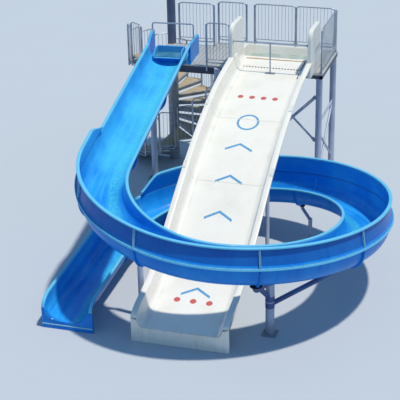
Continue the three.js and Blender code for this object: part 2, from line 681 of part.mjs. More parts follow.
function stairRail(name, first, last) {
  const riser = DECK_TOP / RISERS;
  const ring = STAIR.radius + GAP + POST / 2;
  const pieces = [];
  for (let i = first; i <= last; i += 1) {
    const angle = STAIR_FOOT_ANGLE + TREAD_ANGLE * i;
    const z = riser * Math.min(i + 1, RISERS - 1);
    if (i > first || first === 0) {
      const post = postAt([0, 0], Math.max(0, z - riser - 90), z + 1000).rotateZ(angle * DEG);
      if (i < last || last === RISERS - 1) pieces.push(post.translate(...fromStair(ring, angle), 0));
    }
    if (i < last) {
      const edge = ((POST / ring) / DEG) * 0.62;
      const from = fromStair(ring, angle + (i > first || first === 0 ? 0 : edge));
      const to = fromStair(ring, angle + TREAD_ANGLE - (i === last - 1 && last < RISERS - 1 ? edge : 0));
      pieces.push(...panel(from, to, z - 130, z + 1050, RAIL_TUBE.stair, BAR_SPACING.stair));
    }
  }
  add(name, geometryOf(fuse(pieces)), STEEL);
}

function addStair() {
  const { x, y } = STAIR;
  const shaft = upright(x, y, STAIR.pole, 0, STAIR.poleTop + 5, POLE_SIDES);
  const cap = upright(x, y, STAIR.pole + 15, STAIR.poleTop, STAIR.poleTop + 12, POLE_SIDES);
  add('stair_pole', geometryOf(fuse(shaft, cap)), STEEL);
  const treads = RISERS - 1;
  const half = Math.ceil(treads / 2);
  flight('stair_flight_lower', 0, half);
  flight('stair_flight_upper', half, treads);
  RAILING_STARTS.forEach((first, i) => {
    stairRail(`stair_railing_${i + 1}`, first, RAILING_STARTS[i + 1] ?? treads);
  });
}

// Legs and arms that carry the flume at its joints, cut to its underside and its collars
function flumeUnderside(first, last) {
  const edge = FLUME_HALF_WIDTH + GAP;
  const below = -RIM_LIP - GAP;
  const body = (grow, stations) => {
    const curve = channelCurve(grow + GAP).slice(1, -1);
    const side = CHANNEL_HALF + grow + GAP;
    return solid(carry([
      [-edge, 900], [-edge, below], [-side, below], ...curve, [side, below], [edge, below], [edge, 900],
    ], stations, onFlume));
  };
  let filled = null;
  for (let i = first; i <= last; i += 1) {
    const stations = flumeStations(i);
    const lengthened = [stations[0] - 1, ...stations.slice(1, -1), stations.at(-1) + 1];
    const collar = body(SKIN + COLLAR_HEIGHT, [stations[0] - 1, stations[1] + 2]);
    const section = body(SKIN, lengthened).add(collar);
    filled = filled ? filled.add(section) : section;
  }
  return filled;
}

// An arm ends in a short upright head under the joint
function armTo(from, jointIndex, across, radius) {
  const distance = FLUME_JOINTS[jointIndex] + COLLAR_LENGTH / 2;
  const under = onFlume(distance, across, -FLUME_DEPTH - SKIN - COLLAR_HEIGHT);
  const head = solid(upright(under.x, under.y, radius, under.z - 2 * radius, under.z + 150, 12));
  return solid(bar(from, [under.x, under.y, under.z - radius], radius, 12)).add(head);
}

function addFlumeSupports() {
  const legs = [
    { name: 'support_front_left', at: [-140, 1200], joint: 3, across: -150, radius: 70 },
    { name: 'support_back_right', at: [2950, 6100], joint: 8, across: -150, radius: 55 },
    { name: 'support_back_left', at: [-600, 5500], joint: 10, across: -100, radius: 55 },
  ];
  for (const { name, at: [x, y], joint, across, radius } of legs) {
    const under = onFlume(FLUME_JOINTS[joint], across, -FLUME_DEPTH).z;
    const top = Math.max(110, under - 330);
    const leg = footed(x, y, radius, top + radius);
    const arm = armTo([x, y, top], joint, across, radius * 0.8);
    add(name, geometryOf(leg.add(arm).subtract(flumeUnderside(joint - 1, joint + 1))), STEEL);
  }
  const [x, y] = [3050, 1150];
  const top = onFlume(FLUME_JOINTS[5], 0, -FLUME_DEPTH).z - 380;
  const mast = footed(x, y, 105, top + 60);
  const arms = [
    armTo([x, y, 950], 5, -200, 60), armTo([x, y, 780], 6, -60, 60), armTo([x, y, top - 60], 5, 150, 80),
  ];
  const tree = arms.reduce((sum, arm) => sum.add(arm), mast);
  add('support_front_right', geometryOf(tree.subtract(flumeUnderside(4, 7))), STEEL);
}

// Pair of legs with a cross tube under the wide slide
const TRESTLE = { y: 4750, inset: 270, radius: 52, foot: 240 };

function addWideSupports() {
  const { y, inset, radius, foot } = TRESTLE;
  const half = WIDE_WIDTH / 2 + GAP;
  const right = [[half, 900], [half, -WIDE_SKIN], ...wideOuter(WIDE_SKIN + GAP)];
  const cutter = solid(carry([...right, ...mirrored(right)], wideStations(1), onWide));
  const top = wideRim(y) - WIDE_DEPTH + 60;
  const legs = [inset, WIDE_WIDTH - inset].map((x) => footed(x, y, radius, top, foot));
  const z = wideRim(y) - WIDE_DEPTH - 140;
  const cross = solid(bar([inset, y, z], [WIDE_WIDTH - inset, y, z], 40, 12));
  add('wide_slide_trestle', geometryOf(legs[0].add(legs[1]).add(cross).subtract(cutter)), STEEL);
}

addFlume();
addSplashWall();
addFlumeStart();
addWideSlide();
addWideStart();
addDeck();
addColumns();
addBracing();
addRailings();
addStair();
addFlumeSupports();
addWideSupports();

// The origin is the middle of the whole part's plan, at its lowest point
const plan = new THREE.Box3().setFromObject(tower);
tower.position.set(-(plan.min.x + plan.max.x) / 2, -(plan.min.y + plan.max.y) / 2, 0);

export default tower;
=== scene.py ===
# Water slide tower: a raised platform on steel columns with a spiral stair, a straight wide white
# slide, and a blue flume that winds once round that slide, with a splash wall on its outer rim.
# Metres, +Z up. Lengths are read from the front left corner of the white slide's exit.

import math

import bmesh
import bpy
import numpy as np
from mathutils import Matrix, Vector


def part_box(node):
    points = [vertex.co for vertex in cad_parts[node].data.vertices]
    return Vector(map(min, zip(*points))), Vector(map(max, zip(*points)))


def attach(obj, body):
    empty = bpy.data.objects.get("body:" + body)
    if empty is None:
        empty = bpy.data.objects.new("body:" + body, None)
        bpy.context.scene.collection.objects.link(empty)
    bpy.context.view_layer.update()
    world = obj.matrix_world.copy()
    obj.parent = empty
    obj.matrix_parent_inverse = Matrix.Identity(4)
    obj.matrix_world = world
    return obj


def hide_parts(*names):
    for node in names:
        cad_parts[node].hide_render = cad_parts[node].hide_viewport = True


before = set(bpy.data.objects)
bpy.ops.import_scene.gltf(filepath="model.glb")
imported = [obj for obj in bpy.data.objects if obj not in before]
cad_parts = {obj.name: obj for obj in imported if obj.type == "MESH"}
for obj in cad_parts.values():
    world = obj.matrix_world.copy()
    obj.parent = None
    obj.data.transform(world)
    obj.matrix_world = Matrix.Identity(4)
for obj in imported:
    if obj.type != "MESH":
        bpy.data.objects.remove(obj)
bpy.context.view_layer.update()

# The camera stands in front of the tower and to its right, above it, and looks down at it from
# far off through a long lens.
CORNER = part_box("wide_slide_exit")[0]
CAMERA_PLACE = CORNER + Vector((9.150, -24.079, 15.185))
CAMERA_TURN, CAMERA_DIP, CAMERA_TILT = (math.radians(a) for a in (17.081, 24.306, -1.1667))
CAMERA_LENS, CAMERA_REACH = 114.19, 200

view_ahead = Vector((
    -math.sin(CAMERA_TURN) * math.cos(CAMERA_DIP),
    math.cos(CAMERA_TURN) * math.cos(CAMERA_DIP),
    -math.sin(CAMERA_DIP),
))
view_level = Vector((math.cos(CAMERA_TURN), math.sin(CAMERA_TURN), 0))
view_above = view_level.cross(view_ahead)
view_right = view_level * math.cos(CAMERA_TILT) + view_above * math.sin(CAMERA_TILT)
view_top = view_above * math.cos(CAMERA_TILT) - view_level * math.sin(CAMERA_TILT)
camera_data = bpy.data.cameras.new("camera")
camera_data.lens = CAMERA_LENS
camera_data.clip_end = CAMERA_REACH
camera = bpy.data.objects.new("camera", camera_data)
camera.matrix_world = (
    Matrix.Translation(CAMERA_PLACE)
    @ Matrix((view_right, view_top, -view_ahead)).transposed().to_4x4()
)
bpy.context.scene.collection.objects.link(camera)
bpy.context.scene.camera = camera


# The floor is one plain pale sheet, and the light is a soft sun from the right with an even sky.
# Its finish is the first material, so the two classes that build all the finishes stand here.
FLOOR_HALF = 60
FLOOR_COLOUR, FLOOR_SHADE = (0.45, 0.50, 0.56, 1), 0.97
CLOUD_ROUGHNESS = 0.55
SUN_SLOPE, SUN_TURN, SUN_SPREAD = (math.radians(a) for a in (17, 79, 2.5))
SUN_STRENGTH, SUN_COLOUR = 3.5, (1.0, 0.92, 0.79)
SKY_COLOUR = (0.34, 0.63, 1.0, 1)
SKY_STRENGTH = 0.52


class Reading:
    """A number read over a surface. Sums on it add Math nodes to its finish."""

    def __init__(self, finish, socket):
        self.finish, self.socket = finish, socket

    def sum(self, operation, first, second):
        return self.finish.node("ShaderNodeMath", {"operation": operation}, {0: first, 1: second})

    def __add__(self, other):
        return self.sum("ADD", self, other)

    def __sub__(self, other):
        return self.sum("SUBTRACT", self, other)

    def __rsub__(self, other):
        return self.sum("SUBTRACT", other, self)

    def __mul__(self, other):
        return self.sum("MULTIPLY", self, other)

    def __truediv__(self, other):
        return self.sum("DIVIDE", self, other)

    def __pow__(self, other):
        return self.sum("POWER", self, other)

    def __gt__(self, other):
        return self.sum("GREATER_THAN", self, other)

    def __lt__(self, other):
        return self.sum("LESS_THAN", self, other)

    def __abs__(self):
        return self.sum("ABSOLUTE", self, 0)

    def __mod__(self, other):
        return self.sum("FLOORED_MODULO", self, other)

    __radd__ = __add__
    __rmul__ = __mul__


class Finish:
    """One material of the tower, its nodes added by node()."""

    def __init__(self, name, **surface):
        self.material = bpy.data.materials.new(name)
        self.material.use_nodes = True
        self.nodes = self.material.node_tree.nodes
        self.links = self.material.node_tree.links
        self.surface = self.nodes["Principled BSDF"]
        self.wear(**surface)

    def wear(self, **surface):
        """Feeds the surface's sockets, each named with _ for a space."""
        for name, value in surface.items():
            self.feed(self.surface.inputs[name.replace("_", " ")], value)

    def feed(self, socket, value):
        if isinstance(value, Reading):
            self.links.new(value.socket, socket)
        else:
            socket.default_value = value

    def node(self, kind, settings=(), sockets=(), output=0):
        """Adds a node with its settings and with values or links in its sockets."""
        made = self.nodes.new(kind)
        for name, value in dict(settings).items():
            if name == "stops":
                elements = made.color_ramp.elements
                elements[0].position, elements[0].color = value[0]
                elements[1].position, elements[1].color = value[-1]
                for place, colour in value[1:-1]:
                    elements.new(place).color = colour
            else:
                setattr(made, name, value)
        for name, value in dict(sockets).items():
            self.feed(made.inputs[name], value)
        return Reading(self, made.outputs[output])

    def blend(self, share, low, high):
        """A colour between two others."""
        return self.node("ShaderNodeMix", {"data_type": "RGBA"}, {0: share, 6: low, 7: high}, 2)

    def mark(self, name):
        """A number kept on the points of a mesh, such as the distance down the slide."""
        return self.node("ShaderNodeAttribute", {"attribute_name": name}, output=2)

    def place(self, stretch=(1, 1, 1)):
        """Where the surface is, in metres, stretched for grain that runs one way."""
        here = self.node("ShaderNodeTexCoord", output=3)
        return self.node("ShaderNodeMapping", sockets={"Vector": here, "Scale": stretch})

    def axis(self, index):
        """One coordinate of the surface, in metres."""
        return self.node("ShaderNodeSeparateXYZ", sockets={0: self.place()}, output=index)

    def mottle(self, scale, stretch=(1, 1, 1), detail=3):
        """Cloudy variation from 0 to 1, about 1 / scale metres across."""
        return self.node("ShaderNodeTexNoise", sockets={
            "Vector": self.place(stretch), "Scale": scale, "Detail": detail, "Roughness": CLOUD_ROUGHNESS,
        })

    def rise(self, value, low, high):
        """0 below low and 1 above high, with a smooth step between them."""
        return self.node(
            "ShaderNodeMapRange", {"interpolation_type": "SMOOTHSTEP"},
            {"Value": value, "From Min": low, "From Max": high},
        )

    def patches(self, scale, low, high, **grain):
        """Soft-edged patches of cloudy variation."""
        return self.rise(self.mottle(scale, **grain), low, high)

    def marked_part(self, name, low, high):
        """1 where the mark on the mesh is high, with a soft edge."""
        return self.rise(self.mark(name), low, high)

    def bump(self, height, distance, strength=1.0):
        """Small relief of the surface, its height given in metres by the distance."""
        return self.node("ShaderNodeBump", sockets={
            "Height": height, "Distance": distance, "Strength": strength,
        })


floor_mesh = bpy.data.meshes.new("floor")
floor_mesh.from_pydata(
    [(x, y, 0) for x, y in ((-1, -1), (1, -1), (1, 1), (-1, 1))], [], [(0, 1, 2, 3)]
)
floor_mesh.transform(Matrix.Scale(FLOOR_HALF, 4))
floor = bpy.data.objects.new("floor", floor_mesh)
floor_finish = Finish("pale_floor", Roughness=0.85)
floor_finish.wear(Base_Color=floor_finish.blend(
    floor_finish.mottle(0.4), FLOOR_COLOUR, tuple(c * FLOOR_SHADE for c in FLOOR_COLOUR[:3]) + (1,)
))
floor_mesh.materials.append(floor_finish.material)
bpy.context.scene.collection.objects.link(floor)

sun_data = bpy.data.lights.new("sun", "SUN")
sun_data.energy = SUN_STRENGTH
sun_data.angle = SUN_SPREAD
sun_data.color = SUN_COLOUR
sun = bpy.data.objects.new("sun", sun_data)
sun.rotation_euler = (SUN_SLOPE, 0, SUN_TURN)
bpy.context.scene.collection.objects.link(sun)
sky = bpy.data.worlds.new("sky")
sky.use_nodes = True
sky.node_tree.nodes["Background"].inputs["Color"].default_value = SKY_COLOUR
sky.node_tree.nodes["Background"].inputs["Strength"].default_value = SKY_STRENGTH
bpy.context.scene.world = sky
bpy.context.scene.view_settings.view_transform = "Standard"


# Five round steel columns, painted blue-grey, carry the platform. Each stands on a square plate with
# four anchor bolts and stiffening ribs; the front middle one stands before the fascia.
COLUMN_RADIUS = 0.092
COLUMN_TOP = 3.6094
DECK_TOP = 3.75
DECK_FRONT = 9.08
COLUMNS = {
    "column_front_right": (2.5, 9.18), "column_back_right": (2.5, 11.2),
    "column_front_middle": (-0.41, DECK_FRONT - COLUMN_RADIUS - 0.03),
    "column_back_middle": (-0.42, 11.2), "column_front_left": (-2.5, 9.3),
}
PAINT_LIGHT = (0.40, 0.46, 0.60, 1)
PAINT_WORN = (0.30, 0.34, 0.43, 1)
DIRT, CHIPPED = (0.16, 0.15, 0.13, 1), (0.14, 0.12, 0.11, 1)
FOOT_HALF, FOOT_TOP, RIB_TOP, STUD_TOP = 0.18, 0.02, 0.12, 0.052
CREASE = math.radians(38)


def lofted(rings, joined=False):
    """A closed solid through rings of points; joined ones run round to the first again."""
    count, size = len(rings), len(rings[0])
    points = [tuple(point) for ring in rings for point in ring]
    faces = []
    for i in range(count if joined else count - 1):
        low, high = i * size, (i + 1) % count * size
        for j in range(size):
            k = (j + 1) % size
            faces.append((low + j, low + k, high + k, high + j))
    if not joined:
        faces.append(tuple(reversed(range(size))))
        faces.append(tuple(range((count - 1) * size, count * size)))
    return points, faces, {}


def turned(profile, foot, axis=(0, 0, 1), sides=24):
    """A round solid: rings of the given radii, each at its distance along the axis."""
    along = Vector(axis).normalized()
    across = along.orthogonal().normalized()
    beside = along.cross(across)
    angles = [2 * math.pi * i / sides for i in range(sides)]
    return lofted([
        [
            Vector(foot) + along * reach + (across * math.cos(a) + beside * math.sin(a)) * radius
            for a in angles
        ]
        for radius, reach in profile
    ])


def rod(start, end, radius, sides=16, edge=0.003):
    """A round bar with broken edges."""
    along = Vector(end) - Vector(start)
    length = along.length
    profile = [(radius - edge, 0), (radius, edge), (radius, length - edge), (radius - edge, length)]
    return turned(profile, start, along, sides)


def inset(outline, distance):
    """The outline, drawn anticlockwise, moved inwards."""
    moved = []
    for i, point in enumerate(outline):
        before = (Vector(point) - Vector(outline[i - 1])).normalized()
        after = (Vector(outline[(i + 1) % len(outline)]) - Vector(point)).normalized()
        left = Vector((-before.y - after.y, before.x + after.x))
        reach = max(0.35, (1 + before.dot(after)) / 2)
        moved.append(Vector(point) + left / 2 * distance / reach)
    return moved


def slab(outline, low, high, edge=0.004, place=lambda x, y, z: (x, y, z)):
    """A plate of the outline's shape with broken edges, laid flat unless place turns it."""
    edge = min(edge, (high - low) / 3)
    area = sum(a[0] * b[1] - b[0] * a[1] for a, b in zip(outline, outline[1:] + outline[:1]))
    outline = outline if area > 0 else outline[::-1]
    small = inset(outline, edge)
    levels = [(small, low), (outline, low + edge), (outline, high - edge), (small, high)]
    return lofted([[place(x, y, z) for x, y in ring] for ring, z in levels])


def block(low, high, edge=0.004):
    """A squared member between two corners."""
    (x0, y0, z0), (x1, y1, z1) = low, high
    return slab([(x0, y0), (x1, y0), (x1, y1), (x0, y1)], z0, z1, edge)


def bolt(place, axis=(0, 0, 1), size=0.012):
    """A hexagon head on a washer."""
    washer = turned([(size * 1.6, 0), (size * 1.6, size * 0.2)], place, axis, 14)
    head = turned([(size, 0), (size, size * 0.7), (size * 0.8, size * 0.85)], place, axis, 6)
    return merged([washer, head])


def merged(solids):
    """Several solids as one, with the numbers marked on their points."""
    points, faces, marks = [], [], {}
    names = {name for _, _, marked in solids for name in marked}
    for some, of_them, marked in solids:
        faces.extend(tuple(i + len(points) for i in face) for face in of_them)
        for name in names:
            marks.setdefault(name, []).extend(marked.get(name, [0.0] * len(some)))
        points.extend(some)
    return points, faces, marks


def piece(name, solids, finish, stands_for=()):
    """A finished part of the tower, in the place of the nodes that it stands for."""
    points, faces, marks = merged(solids)
    mesh = bpy.data.meshes.new(name)
    shift = np.array(CORNER)
    mesh.from_pydata((np.array(points, dtype=float) + shift).tolist(), [], faces)
    for mark, values in marks.items():
        mesh.attributes.new(mark, "FLOAT", "POINT").data.foreach_set("value", values)
    work = bmesh.new()
    work.from_mesh(mesh)
    bmesh.ops.recalc_face_normals(work, faces=work.faces)
    work.to_mesh(mesh)
    work.free()
    mesh.shade_smooth()
    mesh.set_sharp_from_angle(angle=CREASE)
    mesh.materials.append(finish.material)
    made = bpy.data.objects.new(name, mesh)
    bpy.context.scene.collection.objects.link(made)
    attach(made, "root")
    if stands_for:
        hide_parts(*stands_for)


def painted_steel(name, light, worn, roughness=0.42):
    """Painted steel: soft patches, fine chips, and dirt that splashes up from the ground."""
    paint = Finish(name, Metallic=0.15)
    patches = paint.patches(1.7, 0.35, 0.7)
    streaks = paint.patches(9, 0.5, 0.75, stretch=(3, 3, 0.35))
    splash = paint.rise(0.5 - paint.axis(2) + paint.mottle(7) * 0.5, 0.25, 0.65)
    chips = paint.patches(45, 0.66, 0.72, detail=5)
    colour = paint.blend(patches * 0.6 + streaks * 0.35, light, worn)
    colour = paint.blend(splash * 0.45, colour, DIRT)
    paint.wear(
        Base_Color=paint.blend(chips * 0.5, colour, CHIPPED),
        Roughness=roughness + patches * 0.16 + splash * 0.2,
        Normal=paint.bump(paint.mottle(120, detail=2), 0.0012, 0.5),
    )
    return paint


column_paint = painted_steel("painted_column_steel", PAINT_LIGHT, PAINT_WORN)


def foot_plate(x, y, half, radius):
    """The plate under a column, with its ribs and anchor bolts."""
    near, far = radius - 0.01, half - 0.02
    rib = [(near, FOOT_TOP), (far, FOOT_TOP), (far, FOOT_TOP + 0.01), (near, RIB_TOP)]
    corner = (half - 0.045) * math.sqrt(2)
    solids = [block((x - half, y - half, 0), (x + half, y + half, FOOT_TOP))]
    for i in range(4):
        turn = math.radians(90 * i)
        c, s = math.cos(turn), math.sin(turn)
        solids.append(slab(rib, -0.005, 0.005, 0.002, lambda a, z, t: (
            x + a * c - t * s, y + a * s + t * c, z
        )))
        turn += math.pi / 4
        spot = (x + corner * math.cos(turn), y + corner * math.sin(turn), FOOT_TOP)
        solids += [bolt(spot, size=0.016), rod(spot, (*spot[:2], STUD_TOP), 0.008, 8, 0.002)]
    return solids


def round_leg(x, y, radius, upper, half=FOOT_HALF, weld=(0.007, 0.03), sides=36):
    """A round tube welded to its foot plate; upper holds the rings above the weld."""
    rings = [(radius + weld[0], FOOT_TOP), (radius, weld[1]), *upper]
    return foot_plate(x, y, half, radius) + [turned(rings, (x, y, 0), sides=sides)]


for name, (x, y) in COLUMNS.items():
    in_front = y < DECK_FRONT
    top = DECK_TOP if in_front else COLUMN_TOP
    solids = round_leg(x, y, COLUMN_RADIUS, [
        (COLUMN_RADIUS, top - 0.02), (COLUMN_RADIUS + 0.004, top - 0.012), (COLUMN_RADIUS - 0.002, top),
    ])
    solids.append(turned([
        (COLUMN_RADIUS - 0.001, 0), (COLUMN_RADIUS + 0.003, 0.003), (COLUMN_RADIUS + 0.003, 0.009),
        (COLUMN_RADIUS - 0.001, 0.012),
    ], (x, y, top * 0.52), sides=36))
    if in_front:
        solids.append(block((x - 0.06, y, top - 0.2), (x + 0.06, DECK_FRONT, top)))
        for side in (-0.035, 0.035):
            solids.append(bolt((x + side, y + 0.05, top - 0.1), (side, 0, 0), 0.01))
    else:
        solids.append(block((x - 0.1, y - 0.1, top - 0.016), (x + 0.1, y + 0.1, top)))
        for dx in (-0.075, 0.075):
            for dy in (-0.075, 0.075):
                if math.hypot(dx, dy) > COLUMN_RADIUS + 0.01:
                    solids.append(bolt((x + dx, y + dy, top - 0.016), (0, 0, -1), 0.01))
    piece(name + "_steel", solids, column_paint, (name,))


# The platform's frame is a ring of squared steel beams with joists between them. Its near-black paint
# is a painted shade, darker than the steel's own blue-grey, for the shade under the platform. A deep
# fascia plate with a row of bolts hangs under the front beam, left of the white slide.
DECK_LEFT, DECK_RIGHT, DECK_BACK, WELL_RIGHT = -2.6, 2.6, 11.3, -1.05
DECK_SIDE = DECK_FRONT + 0.52
BEAM_TOP, BEAM_DEPTH, BEAM_WIDTH = 3.7097, 0.1, 0.08
JOISTS = (-0.42, 0.6, 1.65)
FASCIA_RIGHT, FASCIA_FOOT = -0.06, BEAM_TOP - 0.2
# The frame's near-black colours are painted shade, for the shade under the platform.
FRAME_SHADE_PAINT = (0.045, 0.058, 0.085, 1)
FRAME_SHADE_WORN = (0.10, 0.115, 0.15, 1)

beam_low, beam_high = BEAM_TOP - BEAM_DEPTH, BEAM_TOP
beams = [
    ((DECK_LEFT, DECK_FRONT), (DECK_RIGHT, DECK_FRONT + BEAM_WIDTH)),
    ((WELL_RIGHT - 0.05, DECK_BACK - BEAM_WIDTH), (DECK_RIGHT, DECK_BACK)),
    ((DECK_LEFT, DECK_FRONT), (DECK_LEFT + BEAM_WIDTH, DECK_SIDE)),
    ((WELL_RIGHT, DECK_FRONT + 0.02), (WELL_RIGHT + BEAM_WIDTH, DECK_BACK - 0.02)),
    ((DECK_RIGHT - BEAM_WIDTH, DECK_FRONT), (DECK_RIGHT, DECK_BACK)),
] + [
    ((x - BEAM_WIDTH / 2, DECK_FRONT + 0.02), (x + BEAM_WIDTH / 2, DECK_BACK - 0.02))
    for x in JOISTS
]
solids = [block((*low, beam_low), (*high, beam_high), 0.006) for low, high in beams]
solids.append(block(
    (DECK_LEFT + 0.004, DECK_FRONT + 0.004, FASCIA_FOOT),
    (FASCIA_RIGHT, DECK_FRONT + 0.044, beam_low + 0.01),
))
for x in np.arange(DECK_LEFT + 0.1, FASCIA_RIGHT, 0.17):
    solids.append(bolt((x, DECK_FRONT + 0.003, beam_low - 0.045), (0, -1, 0), 0.013))
for x in np.arange(0.15, DECK_RIGHT, 0.35):
    solids.append(bolt((x, DECK_FRONT + 0.001, beam_low + 0.05), (0, -1, 0), 0.009))
# This finish paints the shade under the platform into the frame's colour.
frame_shade_paint = painted_steel("shade_darkened_frame_steel", FRAME_SHADE_PAINT, FRAME_SHADE_WORN, 0.5)
piece("platform_frame", solids, frame_shade_paint, ("deck_frame",))


# The platform's floor is laid with ribbed aluminium planks that run along its depth. Each is screwed
# down over the beams, inside a thin edge angle.
PLANK_WIDTH, PLANK_GAP, PLANK_RIB = 0.13, 0.010, 0.013
PLANK_BOTTOM, PLANK_TOP = DECK_TOP - 0.036, DECK_TOP
STAIR_X, STAIR_Y, STAIR_RADIUS, POLE_RADIUS = -2.41, 11.0, 1.3, 0.13
STAIR_FOOT, TREAD_TURN, TREADS = -182.0, 22.5, 19
LANDING_TURN = STAIR_FOOT + TREAD_TURN * TREADS - 360
PLANK_LIGHT, PLANK_WORN = (0.50, 0.52, 0.53, 1), (0.36, 0.37, 0.37, 1)


def from_stair(radius, degrees):
    angle = math.radians(degrees)
    return STAIR_X + radius * math.cos(angle), STAIR_Y + radius * math.sin(angle)


pole_notch = POLE_RADIUS + 0.004
deck_upper = [
    from_stair(STAIR_RADIUS, LANDING_TURN), from_stair(pole_notch, LANDING_TURN),
    from_stair(pole_notch, -90), from_stair(pole_notch, -60), from_stair(pole_notch, -30),
    from_stair(pole_notch, 0), (WELL_RIGHT, STAIR_Y),
]


def upper_edge(x):
    xs, ys = zip(*deck_upper)
    return float(np.interp(x, xs, ys))


def planks(left, right, upper):
    """Planks side by side from one edge to another, their far ends cut to the outline."""
    count = round((right - left) / PLANK_WIDTH)
    width = (right - left) / count
    solids = []
    for i in range(count):
        x0, x1 = left + i * width + PLANK_GAP / 2, left + (i + 1) * width - PLANK_GAP / 2
        turns = [x for x, _ in deck_upper if x0 < x < x1] if upper is upper_edge else []
        far = [(x, upper(x) - 0.005) for x in [x1, *sorted(turns, reverse=True), x0]]
        outline = [(x0, DECK_FRONT + 0.006), (x1, DECK_FRONT + 0.006), *far]
        solids.append(slab(outline, PLANK_BOTTOM, PLANK_TOP, 0.003))
        for y in (DECK_FRONT + 0.04, far[-1][1] - 0.06):
            for x in (x0 + 0.03, x1 - 0.03):
                screw = (x, y, PLANK_TOP - 0.001)
                solids.append(turned([(0.008, 0), (0.006, 0.002)], screw, sides=8))
    return solids


landing = [
    from_stair(STAIR_RADIUS, LANDING_TURN), from_stair(STAIR_RADIUS, LANDING_TURN + 15),
    (DECK_LEFT, DECK_SIDE), (DECK_LEFT, upper_edge(DECK_LEFT)),
]
solids = planks(DECK_LEFT, WELL_RIGHT, upper_edge) + planks(WELL_RIGHT, DECK_RIGHT, lambda x: DECK_BACK)
solids.append(slab(landing, PLANK_BOTTOM, PLANK_TOP, 0.003))
trim = PLANK_BOTTOM - 0.004
for low, high in (
    ((DECK_LEFT, DECK_FRONT), (DECK_RIGHT, DECK_FRONT + 0.005)),
    ((WELL_RIGHT, DECK_BACK - 0.005), (DECK_RIGHT, DECK_BACK)),
    ((DECK_RIGHT - 0.005, DECK_FRONT), (DECK_RIGHT, DECK_BACK)),
    ((DECK_LEFT, DECK_FRONT), (DECK_LEFT + 0.005, DECK_SIDE)),
    ((WELL_RIGHT - 0.005, STAIR_Y), (WELL_RIGHT, DECK_BACK)),
):
    solids.append(block((*low, trim), (*high, DECK_TOP), 0.001))

plank_metal = Finish("ribbed_aluminium_plank", Metallic=0.25)
ribs = plank_metal.axis(0) % PLANK_RIB / PLANK_RIB
footfall = plank_metal.patches(1.3, 0.4, 0.68)
stain = plank_metal.patches(14, 0.45, 0.75, stretch=(3, 0.4, 1))
plank_metal.wear(
    Base_Color=plank_metal.blend(footfall * 0.5 + stain * 0.4, PLANK_LIGHT, PLANK_WORN),
    Roughness=0.46 + stain * 0.25,
    Normal=plank_metal.bump(abs(ribs - 0.5), 0.002),
)
piece("platform_planks", solids, plank_metal, ("deck_floor",))


# Braces of painted tube tie the columns together in the front and at the right side; a short one runs
# up to the platform's frame. Each ends in a lug plate with one bolt through it.
FRONT_RIGHT, BACK_RIGHT = COLUMNS["column_front_right"], COLUMNS["column_back_right"]
SIDE_BRACES = [((*FRONT_RIGHT, 2.23), (*BACK_RIGHT, 2.27)), ((*FRONT_RIGHT, 2.0), (*BACK_RIGHT, 0.5)),
               ((*FRONT_RIGHT, 0.6), (*BACK_RIGHT, 2.27))]
LONG_BRACE = ((*FRONT_RIGHT, 3.14), (*COLUMNS["column_front_middle"], 0.3))
SHORT_BRACE = ((*FRONT_RIGHT, 1.62), (0.5, DECK_FRONT + 0.12, COLUMN_TOP + 0.05))
SIDE_TUBE, LONG_TUBE, SHORT_TUBE = 0.032, 0.045, 0.030
GUSSET = [(10.93, 2.07), (11.107, 2.07), (11.107, 2.31), (10.93, 2.31)]


def brace(start, end, radius, clear=(COLUMN_RADIUS, COLUMN_RADIUS)):
    """A brace tube between two columns, with a lug plate and a bolt at each end."""
    a, b = Vector(start), Vector(end)
    along = (b - a).normalized()
    level = Vector((along.x, along.y, 0))
    stretch = 1 / max(0.2, level.length)
    a, b = a + along * clear[0] * stretch, b - along * clear[1] * stretch
    side = along.cross(Vector((0, 0, 1))).normalized()
    solids = [rod(a + along * 0.05, b - along * 0.05, radius, 16)]
    for end, inward in ((a, along), (b, -along)):
        up = inward.cross(side).normalized()
        plate = [(0, -0.06), (0.13, -0.045), (0.16, 0), (0.13, 0.045), (0, 0.06)]
        solids.append(slab(plate, -0.006, 0.006, 0.002, lambda x, y, z: tuple(
            end + inward * (x - 0.01) + up * y + side * (z + radius * 0.4)
        )))
        for turn in (1, -1):
            solids.append(bolt(
                end + inward * 0.10 + side * (radius * 0.4 + 0.006 * turn), side * turn, 0.011
            ))
    return solids


def crosswise(y, z, x):
    """Stands a plate drawn as (y, z) upright, its thickness across the tower."""
    return x, y, z


solids = [part for start, end in SIDE_BRACES for part in brace(start, end, SIDE_TUBE)]
solids.append(slab(GUSSET, 2.494, 2.506, 0.002, crosswise))
piece("side_bracing", solids, column_paint, ("brace_right",))
solids = brace(*LONG_BRACE, LONG_TUBE) + brace(*SHORT_BRACE, SHORT_TUBE, (COLUMN_RADIUS, 0.0))
piece("front_bracing", solids, column_paint, ("brace_front",))


# The spiral stair turns round a thick steel pole with a cap. Its wedge treads are pressed steel trays
# with rounded nosings and a sand-coloured rubber pad, welded to hubs stacked on the pole. The pole,
# trays and pads are coloured darker than their own paint and rubber: partly a painted shade, for the
# shade of the platform over the stair.
POLE_TOP = 5.6
HUB_RADIUS = 0.162
RISER = DECK_TOP / 20
TREAD_THICKNESS = 0.045
NOSING_TURN = 3.0
TREAD_RIM = 0.034
# These pole, tray and pad colours are darkened: partly painted shade of the platform above.
POLE_SHADED_TONE, POLE_SHADED_WORN = (0.11, 0.14, 0.24, 1), (0.07, 0.09, 0.15, 1)
TRAY_SHADED_TONE, TRAY_SHADED_WORN = (0.32, 0.34, 0.36, 1), (0.21, 0.22, 0.23, 1)
PAD_SHADED_TONE, PAD_SHADED_WORN = (0.46, 0.38, 0.25, 1), (0.32, 0.26, 0.17, 1)

